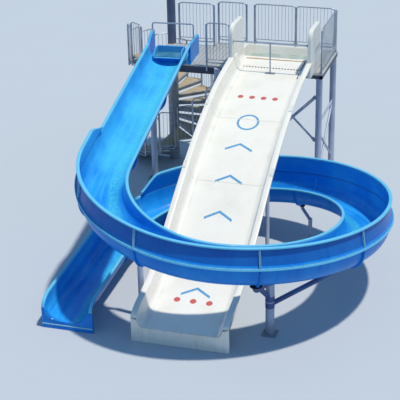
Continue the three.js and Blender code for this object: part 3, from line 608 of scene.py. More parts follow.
pole_paint = painted_steel("shade_darkened_pole_steel", POLE_SHADED_TONE, POLE_SHADED_WORN)
pole = turned([
    (POLE_RADIUS - 0.002, 0), (POLE_RADIUS - 0.002, POLE_TOP - 0.01),
    (POLE_RADIUS + 0.012, POLE_TOP - 0.008), (POLE_RADIUS + 0.013, POLE_TOP + 0.002),
    (POLE_RADIUS + 0.004, POLE_TOP + 0.009), (0.03, POLE_TOP + 0.012),
], (STAIR_X, STAIR_Y, 0), sides=40)
piece("stair_pole_steel", [pole], pole_paint, ("stair_pole",))


def wedge(inner, outer, start, end, margin=0.0):
    """A tread's plan between two radii and two angles, drawn in by the margin."""
    slack_in, slack_out = math.degrees(margin / inner), math.degrees(margin / outer)
    arc = [
        from_stair(outer - margin, start + slack_out + (end - start - 2 * slack_out) * i / 4)
        for i in range(5)
    ]
    first, last = from_stair(inner + margin, start + slack_in), from_stair(inner + margin, end - slack_in)
    return [first, *arc, last]


def nosing(start, height):
    """The rolled front edge of a tread."""
    inner, outer = (from_stair(radius, start + 0.5) for radius in (0.17, 1.285))
    return rod((*inner, height), (*outer, height), 0.018, 10)


tray_metal = Finish("shade_darkened_tread_tray", Metallic=0.2)
scuffs = tray_metal.patches(8, 0.45, 0.7, detail=5)
grime = tray_metal.patches(3, 0.45, 0.75)
tray_metal.wear(
    Base_Color=tray_metal.blend(scuffs * 0.5 + grime * 0.3, TRAY_SHADED_TONE, TRAY_SHADED_WORN),
    Roughness=0.4 + scuffs * 0.3,
    Normal=tray_metal.bump(tray_metal.mottle(90), 0.001, 0.5),
)
pad_rubber = Finish("shade_darkened_sand_tread_pad", Metallic=0.0)
grains = pad_rubber.mottle(260, detail=2)
trodden = pad_rubber.patches(5, 0.4, 0.7)
pad_rubber.wear(
    Base_Color=pad_rubber.blend(trodden * 0.6 + grains * 0.35, PAD_SHADED_TONE, PAD_SHADED_WORN),
    Roughness=0.8 + grains * 0.15,
    Normal=pad_rubber.bump(grains, 0.004),
)

for name, first, last in (("stair_flight_lower", 0, 10), ("stair_flight_upper", 10, TREADS)):
    trays, pads = [], []
    for i in range(first, last):
        start, end = STAIR_FOOT + TREAD_TURN * i - NOSING_TURN, STAIR_FOOT + TREAD_TURN * (i + 1)
        top = RISER * (i + 1)
        tray, fold = wedge(0.15, STAIR_RADIUS, start, end), wedge(0.15, STAIR_RADIUS, start + 1, start + 2.2)
        trays.append(slab(tray, top - TREAD_THICKNESS, top - 0.004, 0.006))
        trays.append(nosing(start, top - 0.020))
        trays.append(slab(fold, top - 0.12, top - 0.03, 0.002))
        pads.append(slab(wedge(0.19, STAIR_RADIUS, start, end, TREAD_RIM), top - 0.008, top, 0.003))
        foot = RISER * i + (0.002 if i else 0)
        trays.append(turned([
            (HUB_RADIUS - 0.004, foot), (HUB_RADIUS, foot + 0.004), (HUB_RADIUS, top - 0.006),
            (HUB_RADIUS - 0.004, top - 0.002),
        ], (STAIR_X, STAIR_Y, 0), sides=36))
        middle = (start + end) / 2
        for radius, turn in ((1.24, start + 3), (1.24, end - 2), (0.26, middle)):
            rivet = (*from_stair(radius, turn), top - 0.004)
            trays.append(turned([(0.009, 0), (0.006, 0.003)], rivet, sides=8))
    piece(name + "_trays", trays, tray_metal, (name,))
    piece(name + "_pads", pads, pad_rubber, (name,))


# Railings are welded frames of round steel tube with rounded corners, two rails at the foot, and
# thin upright bars. They are fixed to square posts that are bolted or clamped in place.
RAIL_BOTTOM, RAIL_TOP = DECK_TOP + 0.1, DECK_TOP + 1.3
SECOND_RAIL = 0.095
CORNER_RADIUS, BEND_STEPS = 0.1, 5
DECK_TUBE, STAIR_TUBE, BAR_RADIUS, POST_HALF = 0.018, 0.015, 0.0065, 0.021
DECK_BAR_SPACING, STAIR_BAR_SPACING = 0.105, 0.115
RAIL_LIGHT, RAIL_WORN = (0.44, 0.49, 0.57, 1), (0.26, 0.29, 0.35, 1)


def bent(points, radius, closed=False):
    """A path through points with its corners rounded."""
    points = [Vector(point) for point in points]
    path = [] if closed else [points[0]]
    for i in range(0 if closed else 1, len(points) if closed else len(points) - 1):
        before, here, after = points[i - 1], points[i], points[(i + 1) % len(points)]
        start = here + (before - here).normalized() * min(radius, (before - here).length / 2)
        end = here + (after - here).normalized() * min(radius, (after - here).length / 2)
        for k in range(BEND_STEPS + 1):
            t = k / BEND_STEPS
            path.append(start * (1 - t) ** 2 + here * 2 * t * (1 - t) + end * t * t)
    return path if closed else path + [points[-1]]


def tube(path, radius, sides=10, closed=False):
    """A round tube along a path."""
    path = [Vector(point) for point in path]
    count = len(path)
    rings, across = [], None
    for i, point in enumerate(path):
        before = path[i - 1] if closed or i else point
        after = path[(i + 1) % count] if closed or i < count - 1 else point
        along = (after - before).normalized()
        across = across - along * across.dot(along) if across else along.orthogonal()
        across.normalize()
        beside = along.cross(across)
        rings.append([
            point + (across * math.cos(a) + beside * math.sin(a)) * radius
            for a in (2 * math.pi * k / sides for k in range(sides))
        ])
    if not closed:
        return lofted(rings)
    shift = min(range(sides), key=lambda k: (rings[-1][k] - rings[0][0]).length)
    if shift:
        rings = [
            [ring[(k + round(shift * i / (count - 1))) % sides] for k in range(sides)]
            for i, ring in enumerate(rings)
        ]
    return lofted(rings, joined=True)


def rail_panel(start, end, bottom, top, radius, spacing):
    """A framed panel between two plan points: its tube loop, second rail and bars."""
    start, end = Vector(start), Vector(end)
    length = (end - start).length
    along = (end - start) / length

    def at(reach, height):
        spot = start + along * reach
        return spot.x, spot.y, height

    low, high = bottom + radius, top - radius
    loop = [at(radius, low), at(length - radius, low), at(length - radius, high), at(radius, high)]
    solids = [tube(bent(loop, CORNER_RADIUS, closed=True), radius, 10, closed=True)]
    second = low + SECOND_RAIL
    solids.append(rod(at(radius, second), at(length - radius, second), radius * 0.72, 8))
    bars = max(2, round(length / spacing))
    for i in range(1, bars):
        reach = radius + (length - 2 * radius) * i / bars
        solids.append(rod(at(reach, second), at(reach, high), BAR_RADIUS, 6, 0.001))
    return solids


def rail_post(x, y, bottom, top, turn=0.0, foot=True):
    """A square post with a rounded cap, a foot plate and its bolts."""
    c, s = math.cos(turn), math.sin(turn)

    def place(u, v, z):
        return x + u * c - v * s, y + u * s + v * c, z

    def square(half):
        return [(-half, -half), (half, -half), (half, half), (-half, half)]

    solids = [slab(square(POST_HALF), bottom, top, 0.003, place)]
    solids.append(turned([(0.018, 0), (0.014, 0.006), (0.004, 0.009)], (x, y, top), sides=12))
    if foot:
        solids.append(slab(square(0.042), bottom, bottom + 0.008, 0.002, place))
        for u, v in ((-0.031, -0.031), (0.031, 0.031), (-0.031, 0.031), (0.031, -0.031)):
            solids.append(bolt(place(u, v, bottom + 0.008), size=0.006))
    return solids


rail_metal = Finish("brushed_rail_tube", Metallic=0.55)
brushed = rail_metal.mottle(30, stretch=(1, 1, 6), detail=4)
dulled = rail_metal.patches(2.2, 0.4, 0.7)
rail_metal.wear(
    Base_Color=rail_metal.blend(dulled * 0.7 + brushed * 0.2, RAIL_LIGHT, RAIL_WORN),
    Roughness=0.24 + brushed * 0.2 + dulled * 0.1,
    Normal=rail_metal.bump(brushed, 0.0008, 0.5),
)

ring = STAIR_RADIUS + 0.0003 + POST_HALF + 0.001
starts = [0, 5, 10, 15, TREADS]
for number, (first, last) in enumerate(zip(starts, starts[1:]), 1):
    solids = []
    for i in range(first, last + 1):
        angle = STAIR_FOOT + TREAD_TURN * i
        height = RISER * min(i + 1, TREADS)
        first_post, last_post = first == 0, last == TREADS
        if (i > first or first_post) and (i < last or last_post):
            foot = max(0, height - RISER - 0.09)
            turn = math.radians(angle)
            solids += rail_post(*from_stair(ring, angle), foot, height + 0.99, turn, False)
            solids.append(rod(
                (*from_stair(STAIR_RADIUS - 0.05, angle), height - 0.02),
                (*from_stair(ring + 0.018, angle), height - 0.02), 0.009, 8,
            ))
        if i < last:
            slack = 0.62 * math.degrees(0.044 / ring)
            start = angle + (0 if i > first or first_post else slack)
            end = angle + TREAD_TURN - (slack if i == last - 1 and not last_post else 0)
            solids += rail_panel(
                from_stair(ring, start), from_stair(ring, end),
                height - 0.13, height + 1.05, STAIR_TUBE, STAIR_BAR_SPACING,
            )
    name = f"stair_railing_{number}"
    piece(name + "_tubes", solids, rail_metal, (name,))

back, right, outside = DECK_BACK - 0.04, DECK_RIGHT - 0.04, DECK_FRONT - 0.0003 - 0.022
well = STAIR_Y - 0.04
for name, points, foot in (
    ("railing_back_left", [(WELL_RIGHT + 0.04, back), (-0.14, back)], DECK_TOP),
    ("railing_back_right", [(0.1, back), (1.35, back), (right - 0.05, back)], DECK_TOP),
    ("railing_right", [(right, back - 0.05), (right, DECK_FRONT + 0.04)], DECK_TOP),
    ("railing_front", [(-0.75, outside), (-0.06, outside)], DECK_TOP - 0.14),
    ("railing_well", [(WELL_RIGHT - 0.01, well), (STAIR_X + 0.26, well)], DECK_TOP),
):
    solids = []
    for x, y in points:
        solids += rail_post(x, y, foot, RAIL_TOP - 0.05, foot=foot == DECK_TOP)
        if foot != DECK_TOP:
            for z in (foot + 0.03, foot + 0.09):
                solids.append(bolt((x, y - POST_HALF, z), (0, -1, 0), 0.009))
    for start, end in zip(points, points[1:]):
        solids += rail_panel(start, end, RAIL_BOTTOM, RAIL_TOP, DECK_TUBE, DECK_BAR_SPACING)
    piece(name + "_tubes", solids, rail_metal, (name,))


# The flume is moulded glass-fibre in twelve bolted sections: a rounded channel with thick rolled rims,
# polished blue inside. The gelcoat has faded on the rims. Where the water runs, a greener speckled
# streak stands for its film: the water's colour, speckled with a painted reflection of its ripples.
GAP = 0.0003
FLUME_START = (-1.883, 9.206, 4.362, 274.6)
FLUME_LEGS = [(6.93, 0, 0.142), (4.15, 90, 0.195), (5.69, 90, 0.1), (5.03, 90, 0.111),
              (5.01, 86.2, 0.1), (3.29, 0, 0.045)]
FALL_BLEND = 0.7
CHANNEL_HALF, CHANNEL_DEPTH, CHANNEL_FULLNESS, SKIN = 0.56, 0.58, 2.6, 0.012
RIM_EDGE, RIM_LIP, RIM_ROLL = 0.639, 0.040, 0.020
FLUME_JOINTS = [0.165, 3.05, 6.2, 8.15, 10.1, 12.52, 15.0, 17.7, 20.45, 22.7, 24.9, 27.2, 30.09]
FLUME_NAMES = ["flume_chute_upper", "flume_chute_lower", *(f"flume_turn_{i}" for i in range(1, 9)),
               "flume_run_out"]
FLUME_BOLT = 0.009
STRAIGHT_STEP, TURN_STEP = 0.2, 0.085
WALL_JOINTS = [5.3, 8.15, 10.1, 12.52, 15.0, 17.7, 20.45, 22.7, 24.85]
BLUE_DEEP, BLUE_LIT = (0.002, 0.18, 0.66, 1), (0.016, 0.31, 0.80, 1)
BLUE_RIM, BLUE_RIM_FADED = (0.10, 0.45, 0.70, 1), (0.20, 0.58, 0.86, 1)
# The second colour on the next line is a painted reflection: light streaks down the channel.
BLUE_CHUTE, BLUE_REFLECTION_STREAK = (0.06, 0.48, 0.85, 1), (0.09, 0.52, 0.86, 1)
# The first colour on the next line is the running water's film, with its painted reflection.
BLUE_WET_SHEEN, BLUE_EDGE = (0.07, 0.55, 0.60, 1), (0.40, 0.74, 0.72, 1)
# The second colour on the next line is a painted shade for the splash wall's outer face.
BLUE_OUTSIDE, BLUE_WALL_BACK_SHADE = (0.003, 0.16, 0.66, 1), (0.001, 0.06, 0.34, 1)
LIME_SPOT, SEALANT = (0.35, 0.55, 0.75, 1), (0.12, 0.42, 0.60, 1)
SEAM_DIRT, GREEN_DIRT = (0.035, 0.04, 0.05, 1), (0.12, 0.22, 0.16, 1)


def flume_height(distance):
    """The rim's height at a distance down the flume, before its changes of slope are eased."""
    height, left = FLUME_START[2], distance
    for i, (length, _, fall) in enumerate(FLUME_LEGS):
        run = left if left < 0 or i == len(FLUME_LEGS) - 1 else min(left, length)
        height -= run * fall
        left -= run
        if left <= 0:
            break
    return height


def flume_at(distance):
    """Plan position, rim height and heading of the flume's middle at a distance down it."""
    x, y, _, heading = FLUME_START
    left = distance
    for i, (length, turn, _) in enumerate(FLUME_LEGS):
        run = left if i == len(FLUME_LEGS) - 1 else min(left, length)
        turned_by = math.radians(turn * run / length)
        chord = run * math.sin(turned_by / 2) / (turned_by / 2) if turned_by else run
        bearing = math.radians(heading) + turned_by / 2
        x += chord * math.cos(bearing)
        y += chord * math.sin(bearing)
        heading += math.degrees(turned_by)
        left -= run
        if left <= 0:
            break
    heights = [flume_height(distance + FALL_BLEND * shift) for shift in (-1, -0.5, 0, 0.5, 1)]
    return x, y, sum(heights) / 5, heading


def on_flume(distance, across, up):
    """The place of a point of the section, measured from the middle between the rims."""
    x, y, z, heading = flume_at(distance)
    side = math.radians(heading - 90)
    return x + across * math.cos(side), y + across * math.sin(side), z + up


def channel_curve(half, depth, steps=36):
    """The channel's rounded section from one rim to the other."""
    curve = []
    for i in range(steps + 1):
        angle = math.pi * (1 - i / steps)
        across = abs(math.cos(angle)) ** (2 / CHANNEL_FULLNESS)
        down = abs(math.sin(angle)) ** (2 / CHANNEL_FULLNESS)
        curve.append((math.copysign(across * half, math.cos(angle)), -down * depth))
    return curve


def quarter(steps):
    """The angles of an edge that is rounded over a quarter turn."""
    return [math.pi / 2 * k / steps for k in range(steps + 1)]


def flume_profile():
    """The closed section of a moulding: (across, up, inside, rim) round its skin."""
    inside_curve = channel_curve(CHANNEL_HALF, CHANNEL_DEPTH)
    outside_curve = channel_curve(CHANNEL_HALF + SKIN, CHANNEL_DEPTH + SKIN)
    inner = [(a, u, 1, 0) for a, u in inside_curve if u < -RIM_ROLL - 0.012]
    outer = [(a, u, 0, 0) for a, u in outside_curve if u < -0.05]
    rim = [
        (CHANNEL_HALF + RIM_ROLL * (1 - math.cos(angle)), -RIM_ROLL * (1 - math.sin(angle)), 1, 1)
        for angle in quarter(4)
    ]
    rim.append(((CHANNEL_HALF + RIM_EDGE) / 2 + 0.01, 0.0, 0, 1))
    rim += [
        (RIM_EDGE - 0.014 * (1 - math.sin(angle)), -0.014 * (1 - math.cos(angle)), 0, 1)
        for angle in quarter(3)
    ]
    rim += [
        (RIM_EDGE, -RIM_LIP + 0.003, 0, 1), (RIM_EDGE - 0.003, -RIM_LIP, 0, 1),
        (RIM_EDGE - 0.009, -RIM_LIP, 0, 1), (RIM_EDGE - 0.009, -SKIN - 0.004, 0, 1),
        (RIM_EDGE - 0.014, -SKIN, 0, 0), (CHANNEL_HALF + SKIN + 0.010, -SKIN, 0, 0),
        (CHANNEL_HALF + SKIN + 0.002, -SKIN - 0.008, 0, 0),
    ]
    left = [(-a, u, inside, rolled) for a, u, inside, rolled in reversed(rim)]
    return [*inner, *rim, *reversed(outer), *left]


def steps_along(start, end, spacing):
    count = max(1, round(abs(end - start) / spacing))
    return [start + (end - start) * i / count for i in range(count + 1)]


def moulded(profile, stations, place):
    """A thin moulding: its closed section carried through stations, with the marks of its finish."""
    points, faces, _ = lofted([[place(s, a, u) for a, u, _, _ in profile] for s in stations])
    count = len(stations)
    return points, faces, {
        "along": [s for s in stations for _ in profile],
        "across": [a for a, *_ in profile] * count,
        "up": [u for _, u, _, _ in profile] * count,
        "inside": [float(inside) for _, _, inside, _ in profile] * count,
        "rim": [float(rolled) for _, _, _, rolled in profile] * count,
    }


def marked(solid, **marks):
    """The solid with marks that are the same on all of its points."""
    points, faces, _ = solid
    return points, faces, {name: [float(value)] * len(points) for name, value in marks.items()}


def flange(start, end, inner, outer, place, pale=0.0, edge=0.002):
    """A flat rib between two curves of a section, as thick as start and end lie apart."""
    rings = []
    for (a0, u0), (a1, u1) in zip(inner, outer):
        reach = math.hypot(a1 - a0, u1 - u0)
        back = min(0.5, edge / reach)
        am, um = a1 + (a0 - a1) * back, u1 + (u0 - u1) * back
        rings.append([place(start, a0, u0), place(end, a0, u0), place(end, am, um),
                      place(end - edge, a1, u1), place(start + edge, a1, u1), place(start, am, um)])
    return marked(lofted(rings), edge=pale)


FLANGE_ROOT, FLANGE_REACH = 0.008, 0.060
FLANGE_NEAR, FLANGE_FAR = 0.0015, 0.0105
FLANGE_INNER, FLANGE_OUTER = zip(*[pair for pair in zip(
    channel_curve(CHANNEL_HALF + FLANGE_ROOT, CHANNEL_DEPTH + FLANGE_ROOT),
    channel_curve(CHANNEL_HALF + FLANGE_REACH, CHANNEL_DEPTH + FLANGE_REACH),
) if pair[0][1] < -0.03])


def flume_joint(distance):
    """The two bolted flanges round the outside of a joint, and the sealant bead inside it."""
    solids = [
        flange(distance - FLANGE_FAR, distance - FLANGE_NEAR, FLANGE_INNER, FLANGE_OUTER, on_flume),
        flange(distance + FLANGE_NEAR, distance + FLANGE_FAR, FLANGE_INNER, FLANGE_OUTER, on_flume),
    ]
    heading = math.radians(flume_at(distance)[3])
    ahead = Vector((math.cos(heading), math.sin(heading), 0))
    for i in range(2, len(FLANGE_INNER) - 2, 3):
        (a0, u0), (a1, u1) = FLANGE_INNER[i], FLANGE_OUTER[i]
        for side in (-1, 1):
            spot = on_flume(distance + side * FLANGE_FAR, (a0 + a1 * 1.4) / 2.4, (u0 + u1 * 1.4) / 2.4)
            solids.append(bolt(spot, ahead * side, FLUME_BOLT))
    bead = [p for p in channel_curve(CHANNEL_HALF - 0.0005, CHANNEL_DEPTH - 0.0005) if p[1] < -0.05]
    raised = [(a * 0.996, u * 0.996) for a, u in bead]
    solids.append(marked(lofted([
        [on_flume(distance - 0.008, a, u), on_flume(distance, b, v), on_flume(distance + 0.008, a, u)]
        for (a, u), (b, v) in zip(bead, raised)
    ]), seal=1))
    return solids


def flume_gelcoat(name):
    """Blue gelcoat, read from the marks that the mouldings carry on their points."""
    coat = Finish(name, Metallic=0.0, Coat_Roughness=0.12, Specular_IOR_Level=0.15)
    along, across, up = coat.mark("along"), coat.mark("across"), coat.mark("up")
    inside, rim = coat.mark("inside"), coat.marked_part("rim", 0.35, 0.65)
    edge, seal = coat.marked_part("edge", 0.4, 0.6), coat.marked_part("seal", 0.4, 0.6)
    cloud = coat.patches(1.1, 0.3, 0.7, detail=4)
    fine = coat.patches(26, 0.45, 0.75, detail=5)
    runs = coat.patches(6, 0.42, 0.72, stretch=(1, 1, 0.12), detail=4)
    colour = coat.blend(0.25 + cloud * 0.75, BLUE_DEEP, BLUE_LIT)
    upper = coat.rise(7.5 - along, 0.0, 2.5) * coat.rise(inside, 0.4, 0.6)
    colour = coat.blend(upper * (0.45 + cloud * 0.4), colour, BLUE_CHUTE)
    # Lighter streaks down the channel's inside faces: a painted reflection.
    down_the_slide = coat.node("ShaderNodeCombineXYZ", sockets={"X": across * 7, "Y": along * 0.5})
    streaks = coat.node("ShaderNodeTexNoise", sockets={"Vector": down_the_slide, "Scale": 1.6, "Detail": 4})
    streaks = coat.rise(streaks, 0.42, 0.68) * coat.rise(inside, 0.5, 0.8)
    colour = coat.blend(streaks * 0.3, colour, BLUE_REFLECTION_STREAK)
    # Where the water runs: the water's greener colour, speckled with a painted reflection of its ripples.
    drift = across + 0.16 + (coat.mottle(0.8) - 0.5) * 0.35 + coat.rise(along, 4, 9) * 0.12
    water_way = coat.rise(0.24 - abs(drift), 0.0, 0.16)
    wet = water_way * coat.rise(inside, 0.6, 0.9) * coat.rise(-0.40 - up, 0.0, 0.12)
    ripple_glints = coat.patches(22, 0.42, 0.62, stretch=(1, 0.6, 1), detail=3)
    colour = coat.blend(wet * (0.25 + ripple_glints * 0.55), colour, BLUE_WET_SHEEN)
    outside = 1 - coat.rise(inside, 0.3, 0.7)
    colour = coat.blend(outside * (0.35 + runs * 0.4), colour, BLUE_OUTSIDE)
    # The splash wall's outer face is painted near navy: a painted shade, for the shade under its rim.
    shaded_wall_back = outside * (up > 0.06) * (1 - rim)
    colour = coat.blend(shaded_wall_back * 0.6, colour, BLUE_WALL_BACK_SHADE)
    drops = coat.rise(coat.node(
        "ShaderNodeTexVoronoi", {"feature": "F1"}, {"Vector": coat.place(), "Scale": 14},
    ), 0.28, 0.10)
    chalk = drops * outside * coat.rise(-0.3 - up, 0.0, 0.25) * coat.patches(2.3, 0.5, 0.65)
    colour = coat.blend(chalk * 0.35, colour, LIME_SPOT)
    faded = coat.blend(cloud * 0.3 + fine * 0.25, BLUE_RIM, BLUE_RIM_FADED)
    under_wall = (across > 0.5) * (along > WALL_JOINTS[0]) * (along < WALL_JOINTS[-1]) * (up < 0.002)
    hidden = under_wall * coat.rise(inside, 0.5, 0.8)
    colour = coat.blend(rim * (1 - hidden), colour, faded)
    colour = coat.blend(hidden * coat.rise(up, -0.014, -0.006), colour, SEAM_DIRT)
    dirt_line = coat.rise(0.014 - abs(across - 0.598), 0.0, 0.008) * (up > 0.002) * (up < 0.05)
    colour = coat.blend(dirt_line * (0.25 + cloud * 0.5), colour, GREEN_DIRT)
    colour = coat.blend(edge * (1 - fine * 0.3), colour, BLUE_EDGE)
    colour = coat.blend(seal * 0.6, colour, SEALANT)
    coat.wear(
        Base_Color=colour,
        Roughness=0.2 + fine * 0.18 + outside * 0.12 + edge * 0.2 + rim * 0.08 - wet * 0.1,
        Coat_Weight=(1 - edge) * 0.12,
        Normal=coat.bump(coat.mottle(7, detail=2) + fine * 0.05, 0.004, 0.35),
    )
    return coat


blue_gelcoat = flume_gelcoat("blue_gelcoat_channel")
FLUME_SECTION = flume_profile()
for index, name in enumerate(FLUME_NAMES):
    start, end = FLUME_JOINTS[index] + GAP / 2, FLUME_JOINTS[index + 1] - GAP / 2
    spacing = TURN_STEP if "turn" in name else STRAIGHT_STEP
    solids = [moulded(FLUME_SECTION, steps_along(start, end, spacing), on_flume)]
    if index:
        solids += flume_joint(FLUME_JOINTS[index])
    piece(name + "_moulding", solids, blue_gelcoat, (name,))


# The flume's exit is its last moulded section. The rims curve down at its mouth, and a moulded front
# plate with a pale ledge fills the space under the channel down to the water. The ledge's pale colour
# is partly a painted highlight, for the bright line where the water meets the front.
EXIT_CURVE, EXIT_LIP, EXIT_STEP = 0.4, 0.25, 0.02
FRONT_DEPTH, APRON_HALF = 0.06, 0.646
LEDGE_LOW, LEDGE_HIGH = 0.10, 0.125

exit_start, exit_end = FLUME_JOINTS[-2] + GAP / 2, FLUME_JOINTS[-1] - GAP / 2
exit_x, exit_y, exit_z, _ = flume_at(FLUME_JOINTS[-1])


def quarter_drop(left, length, height):
    """How far an edge has curved down on the last stretch before its end."""
    if left >= length:
        return 0.0
    return height * (1 - math.sqrt(max(0.0, 1 - (1 - left / length) ** 2)))


def on_exit(distance, across, up):
    share = 1 - min(1, -up / CHANNEL_DEPTH)
    drop = quarter_drop(exit_end - distance, EXIT_CURVE, EXIT_LIP)
    return on_flume(distance, across, up - drop * share)


def before_exit(across, z, y):
    return exit_x + across, y, z


level = exit_end - EXIT_CURVE
stations = steps_along(exit_start, level, STRAIGHT_STEP) + steps_along(level, exit_end, EXIT_STEP)[1:]
solids = [moulded(FLUME_SECTION, stations, on_exit)] + flume_joint(FLUME_JOINTS[-2])
cut = exit_z - EXIT_LIP - 0.02
mouth = [(a, exit_z + u) for a, u in channel_curve(CHANNEL_HALF + 0.004, CHANNEL_DEPTH + 0.004)]
mouth = [(a, z) for a, z in reversed(mouth) if z < cut - 0.004]
apron = [(-APRON_HALF, 0), (APRON_HALF, 0), (APRON_HALF, cut), *mouth, (-APRON_HALF, cut)]
solids.append(marked(slab(apron, exit_y + 0.001, exit_y + FRONT_DEPTH, 0.006, before_exit), up=-0.3))
# The pale ledge at the water: partly a painted highlight of the bright waterline.
waterline_ledge = [(-0.64, LEDGE_LOW), (0.64, LEDGE_LOW), (0.64, LEDGE_HIGH), (-0.64, LEDGE_HIGH)]
solids.append(marked(slab(waterline_ledge, exit_y - 0.004, exit_y + 0.01, 0.003, before_exit), edge=1))
piece("flume_exit_moulding", solids, blue_gelcoat, ("flume_exit",))


# The splash wall is a row of leaning sheets moulded like the flume, bolted through a foot flange to its
# outer rim and to each other through upright flanges. It tapers to a quarter of its height at its ends.
WALL_HEIGHT, WALL_LEAN, WALL_RIM = 0.49, -0.075, 0.085
WALL_RAMPS, WALL_LOWEST = (0.9, 0.45), 0.25
WALL_FOOT = CHANNEL_HALF + 0.006
WALL_ROUND, WALL_BOLTS = 0.013, 0.24
WALL_NEAR, WALL_FAR, HALF_PALE = 0.006, 0.016, 0.52


def on_wall(distance, across, up):
    """A point of the wall, its height tapered near the two ends."""
    from_start, to_end = distance - WALL_JOINTS[0], WALL_JOINTS[-1] - distance
    run = max(0.0, min(1, from_start / WALL_RAMPS[0], to_end / WALL_RAMPS[1]))
    run = run * run * (3 - 2 * run) * 0.35 + run * 0.65
    scale = WALL_LOWEST + (1 - WALL_LOWEST) * run
    return on_flume(distance, across, up * scale if up > RIM_LIP else up)


def wall_profile():
    """The wall's section: inner face, rolled rim, outer face and foot flange."""
    top, base, height = WALL_FOOT + WALL_LEAN, WALL_FOOT, WALL_HEIGHT
    edge, outer = RIM_EDGE - 0.004, WALL_FOOT + WALL_LEAN + WALL_RIM
    up_the_wall = [k / 8 for k in range(1, 8)]
    section = [
        (base, GAP, 1, 0), (edge - 0.003, GAP, 0, 1), (edge, GAP + 0.003, 0, 1),
        (edge, GAP + 0.009, 0, 1), (edge - 0.003, GAP + SKIN, 0, 1),
        (base + SKIN + 0.018, GAP + SKIN, 0, 0), (base + SKIN + 0.004, GAP + SKIN + 0.012, 0, 0),
    ]
    section += [
        (base + SKIN + WALL_LEAN * t, GAP + SKIN + (height - 2 * SKIN) * t, 0, 0) for t in up_the_wall
    ]
    section += [
        (top + SKIN, height - SKIN - 0.012, 0, 0), (top + SKIN + 0.012, height - SKIN, 0, 0),
        (outer - 0.014, height - SKIN, 0, 1), (outer - 0.010, height - RIM_LIP, 0, 1),
        (outer - 0.004, height - RIM_LIP, 0, 1),
    ]
    section += [
        (outer - WALL_ROUND * (1 - math.cos(angle)), height - WALL_ROUND * (1 - math.sin(angle)), 0, 1)
        for angle in quarter(3)
    ]
    section += [
        (top + WALL_ROUND * (1 - math.sin(angle)), height - WALL_ROUND * (1 - math.cos(angle)), 0, 1)
        for angle in quarter(3)
    ]
    section += [(top - WALL_LEAN * t, height - 0.02 - (height - 0.02) * t, 1, 0) for t in up_the_wall]
    return section


WALL_SECTION = wall_profile()
for index, (start, end) in enumerate(zip(WALL_JOINTS, WALL_JOINTS[1:])):
    name = f"splash_wall_{index + 1}"
    solids = [moulded(WALL_SECTION, steps_along(start + GAP / 2, end - GAP / 2, TURN_STEP), on_wall)]
    heights = [0.016 + (WALL_HEIGHT - 0.034) * k / 6 for k in range(7)]
    root = [(WALL_FOOT + 0.008 + WALL_LEAN * h / WALL_HEIGHT, h) for h in heights]
    reach = [(a + 0.052, h) for a, h in root]
    for joint, side in ((start, 1), (end, -1)):
        if joint in (WALL_JOINTS[0], WALL_JOINTS[-1]):
            continue
        near, far = sorted((joint + side * WALL_NEAR, joint + side * WALL_FAR))
        solids.append(flange(near, far, root, reach, on_wall, HALF_PALE))
        heading = math.radians(flume_at(joint)[3])
        ahead = Vector((math.cos(heading), math.sin(heading), 0)) * side
        for a, h in reach[1:-1:2]:
            solids.append(bolt(on_wall(joint + side * WALL_FAR, a - 0.022, h), ahead, FLUME_BOLT))
    for distance in steps_along(start + WALL_BOLTS / 2, end - WALL_BOLTS / 2, WALL_BOLTS):
        solids.append(bolt(on_wall(distance, RIM_EDGE - 0.026, GAP + SKIN), size=FLUME_BOLT))
    piece(name + "_moulding", solids, blue_gelcoat, (name,))


# Three legs and a mast carry the flume on arms, all of painted steel tube, and the legs and the mast
# stand on foot plates. A rubber-faced saddle plate sits on each arm's head, at a joint of the flume.
# The mast's arms are painted a dark blue that stands for the shade of the flume over them: painted shade.
LEGS = {
    "support_front_left": ((-0.14, 1.2), 3, -0.15, 0.070),
    "support_back_right": ((2.95, 6.1), 8, -0.15, 0.055),
    "support_back_left": ((-0.6, 5.5), 10, -0.10, 0.055),
}
MAST, MAST_RADIUS = (3.05, 1.15), 0.105
# Dark blue of the mast's arms: a painted shade, for the flume's shadow on them.
ARM_SHADED_TONE, ARM_SHADED_WORN = (0.05, 0.11, 0.30, 1), (0.04, 0.08, 0.19, 1)
RUBBER, RUBBER_DUSTY = (0.012, 0.013, 0.016, 1), (0.06, 0.06, 0.065, 1)


def under_flume(joint, across):
    """The head of an arm, just past a joint and under its flanges."""
    return Vector(on_flume(FLUME_JOINTS[joint] + 0.01, across, -CHANNEL_DEPTH - SKIN - 0.05))


def arm(start, joint, across, radius):
    """An arm that ends in an upright head under a joint."""
    top = under_flume(joint, across)
    elbow, end = (top.x, top.y, top.z - radius - 0.03), (top.x, top.y, top.z - 0.012)
    collar = turned([(radius + 0.012, -0.03), (radius + 0.012, -0.014)], top, sides=24)
    return [tube(bent([start, elbow, end], 2 * radius), radius, 20), collar]


def saddle(joint, across, radius):
    """The black plate between an arm's head and the flume."""
    return turned([
        (radius * 1.7, -0.018), (radius * 1.8, -0.012), (radius * 1.8, 0.004), (radius * 1.6, 0.010)
    ], under_flume(joint, across), sides=28)


saddle_rubber = Finish("black_saddle_plate", Metallic=0.0)
dusty = saddle_rubber.patches(20, 0.4, 0.7)
saddle_rubber.wear(
    Base_Color=saddle_rubber.blend(dusty * 0.5, RUBBER, RUBBER_DUSTY),
    Roughness=0.55 + dusty * 0.3,
    Normal=saddle_rubber.bump(saddle_rubber.mottle(150), 0.001),
)
saddles = []
for name, ((x, y), joint, across, radius) in LEGS.items():
    under = on_flume(FLUME_JOINTS[joint], across, -CHANNEL_DEPTH)[2]
    top = max(0.11, under - 0.33)
    upper = [(radius, top + radius * 0.7), (radius * 0.7, top + radius)]
    solids = round_leg(x, y, radius, upper, weld=(0.006, 0.03), sides=28)
    solids += arm((x, y, top), joint, across, radius * 0.8)
    saddles.append(saddle(joint, across, radius * 0.8))
    piece(name + "_steel", solids, column_paint, (name,))

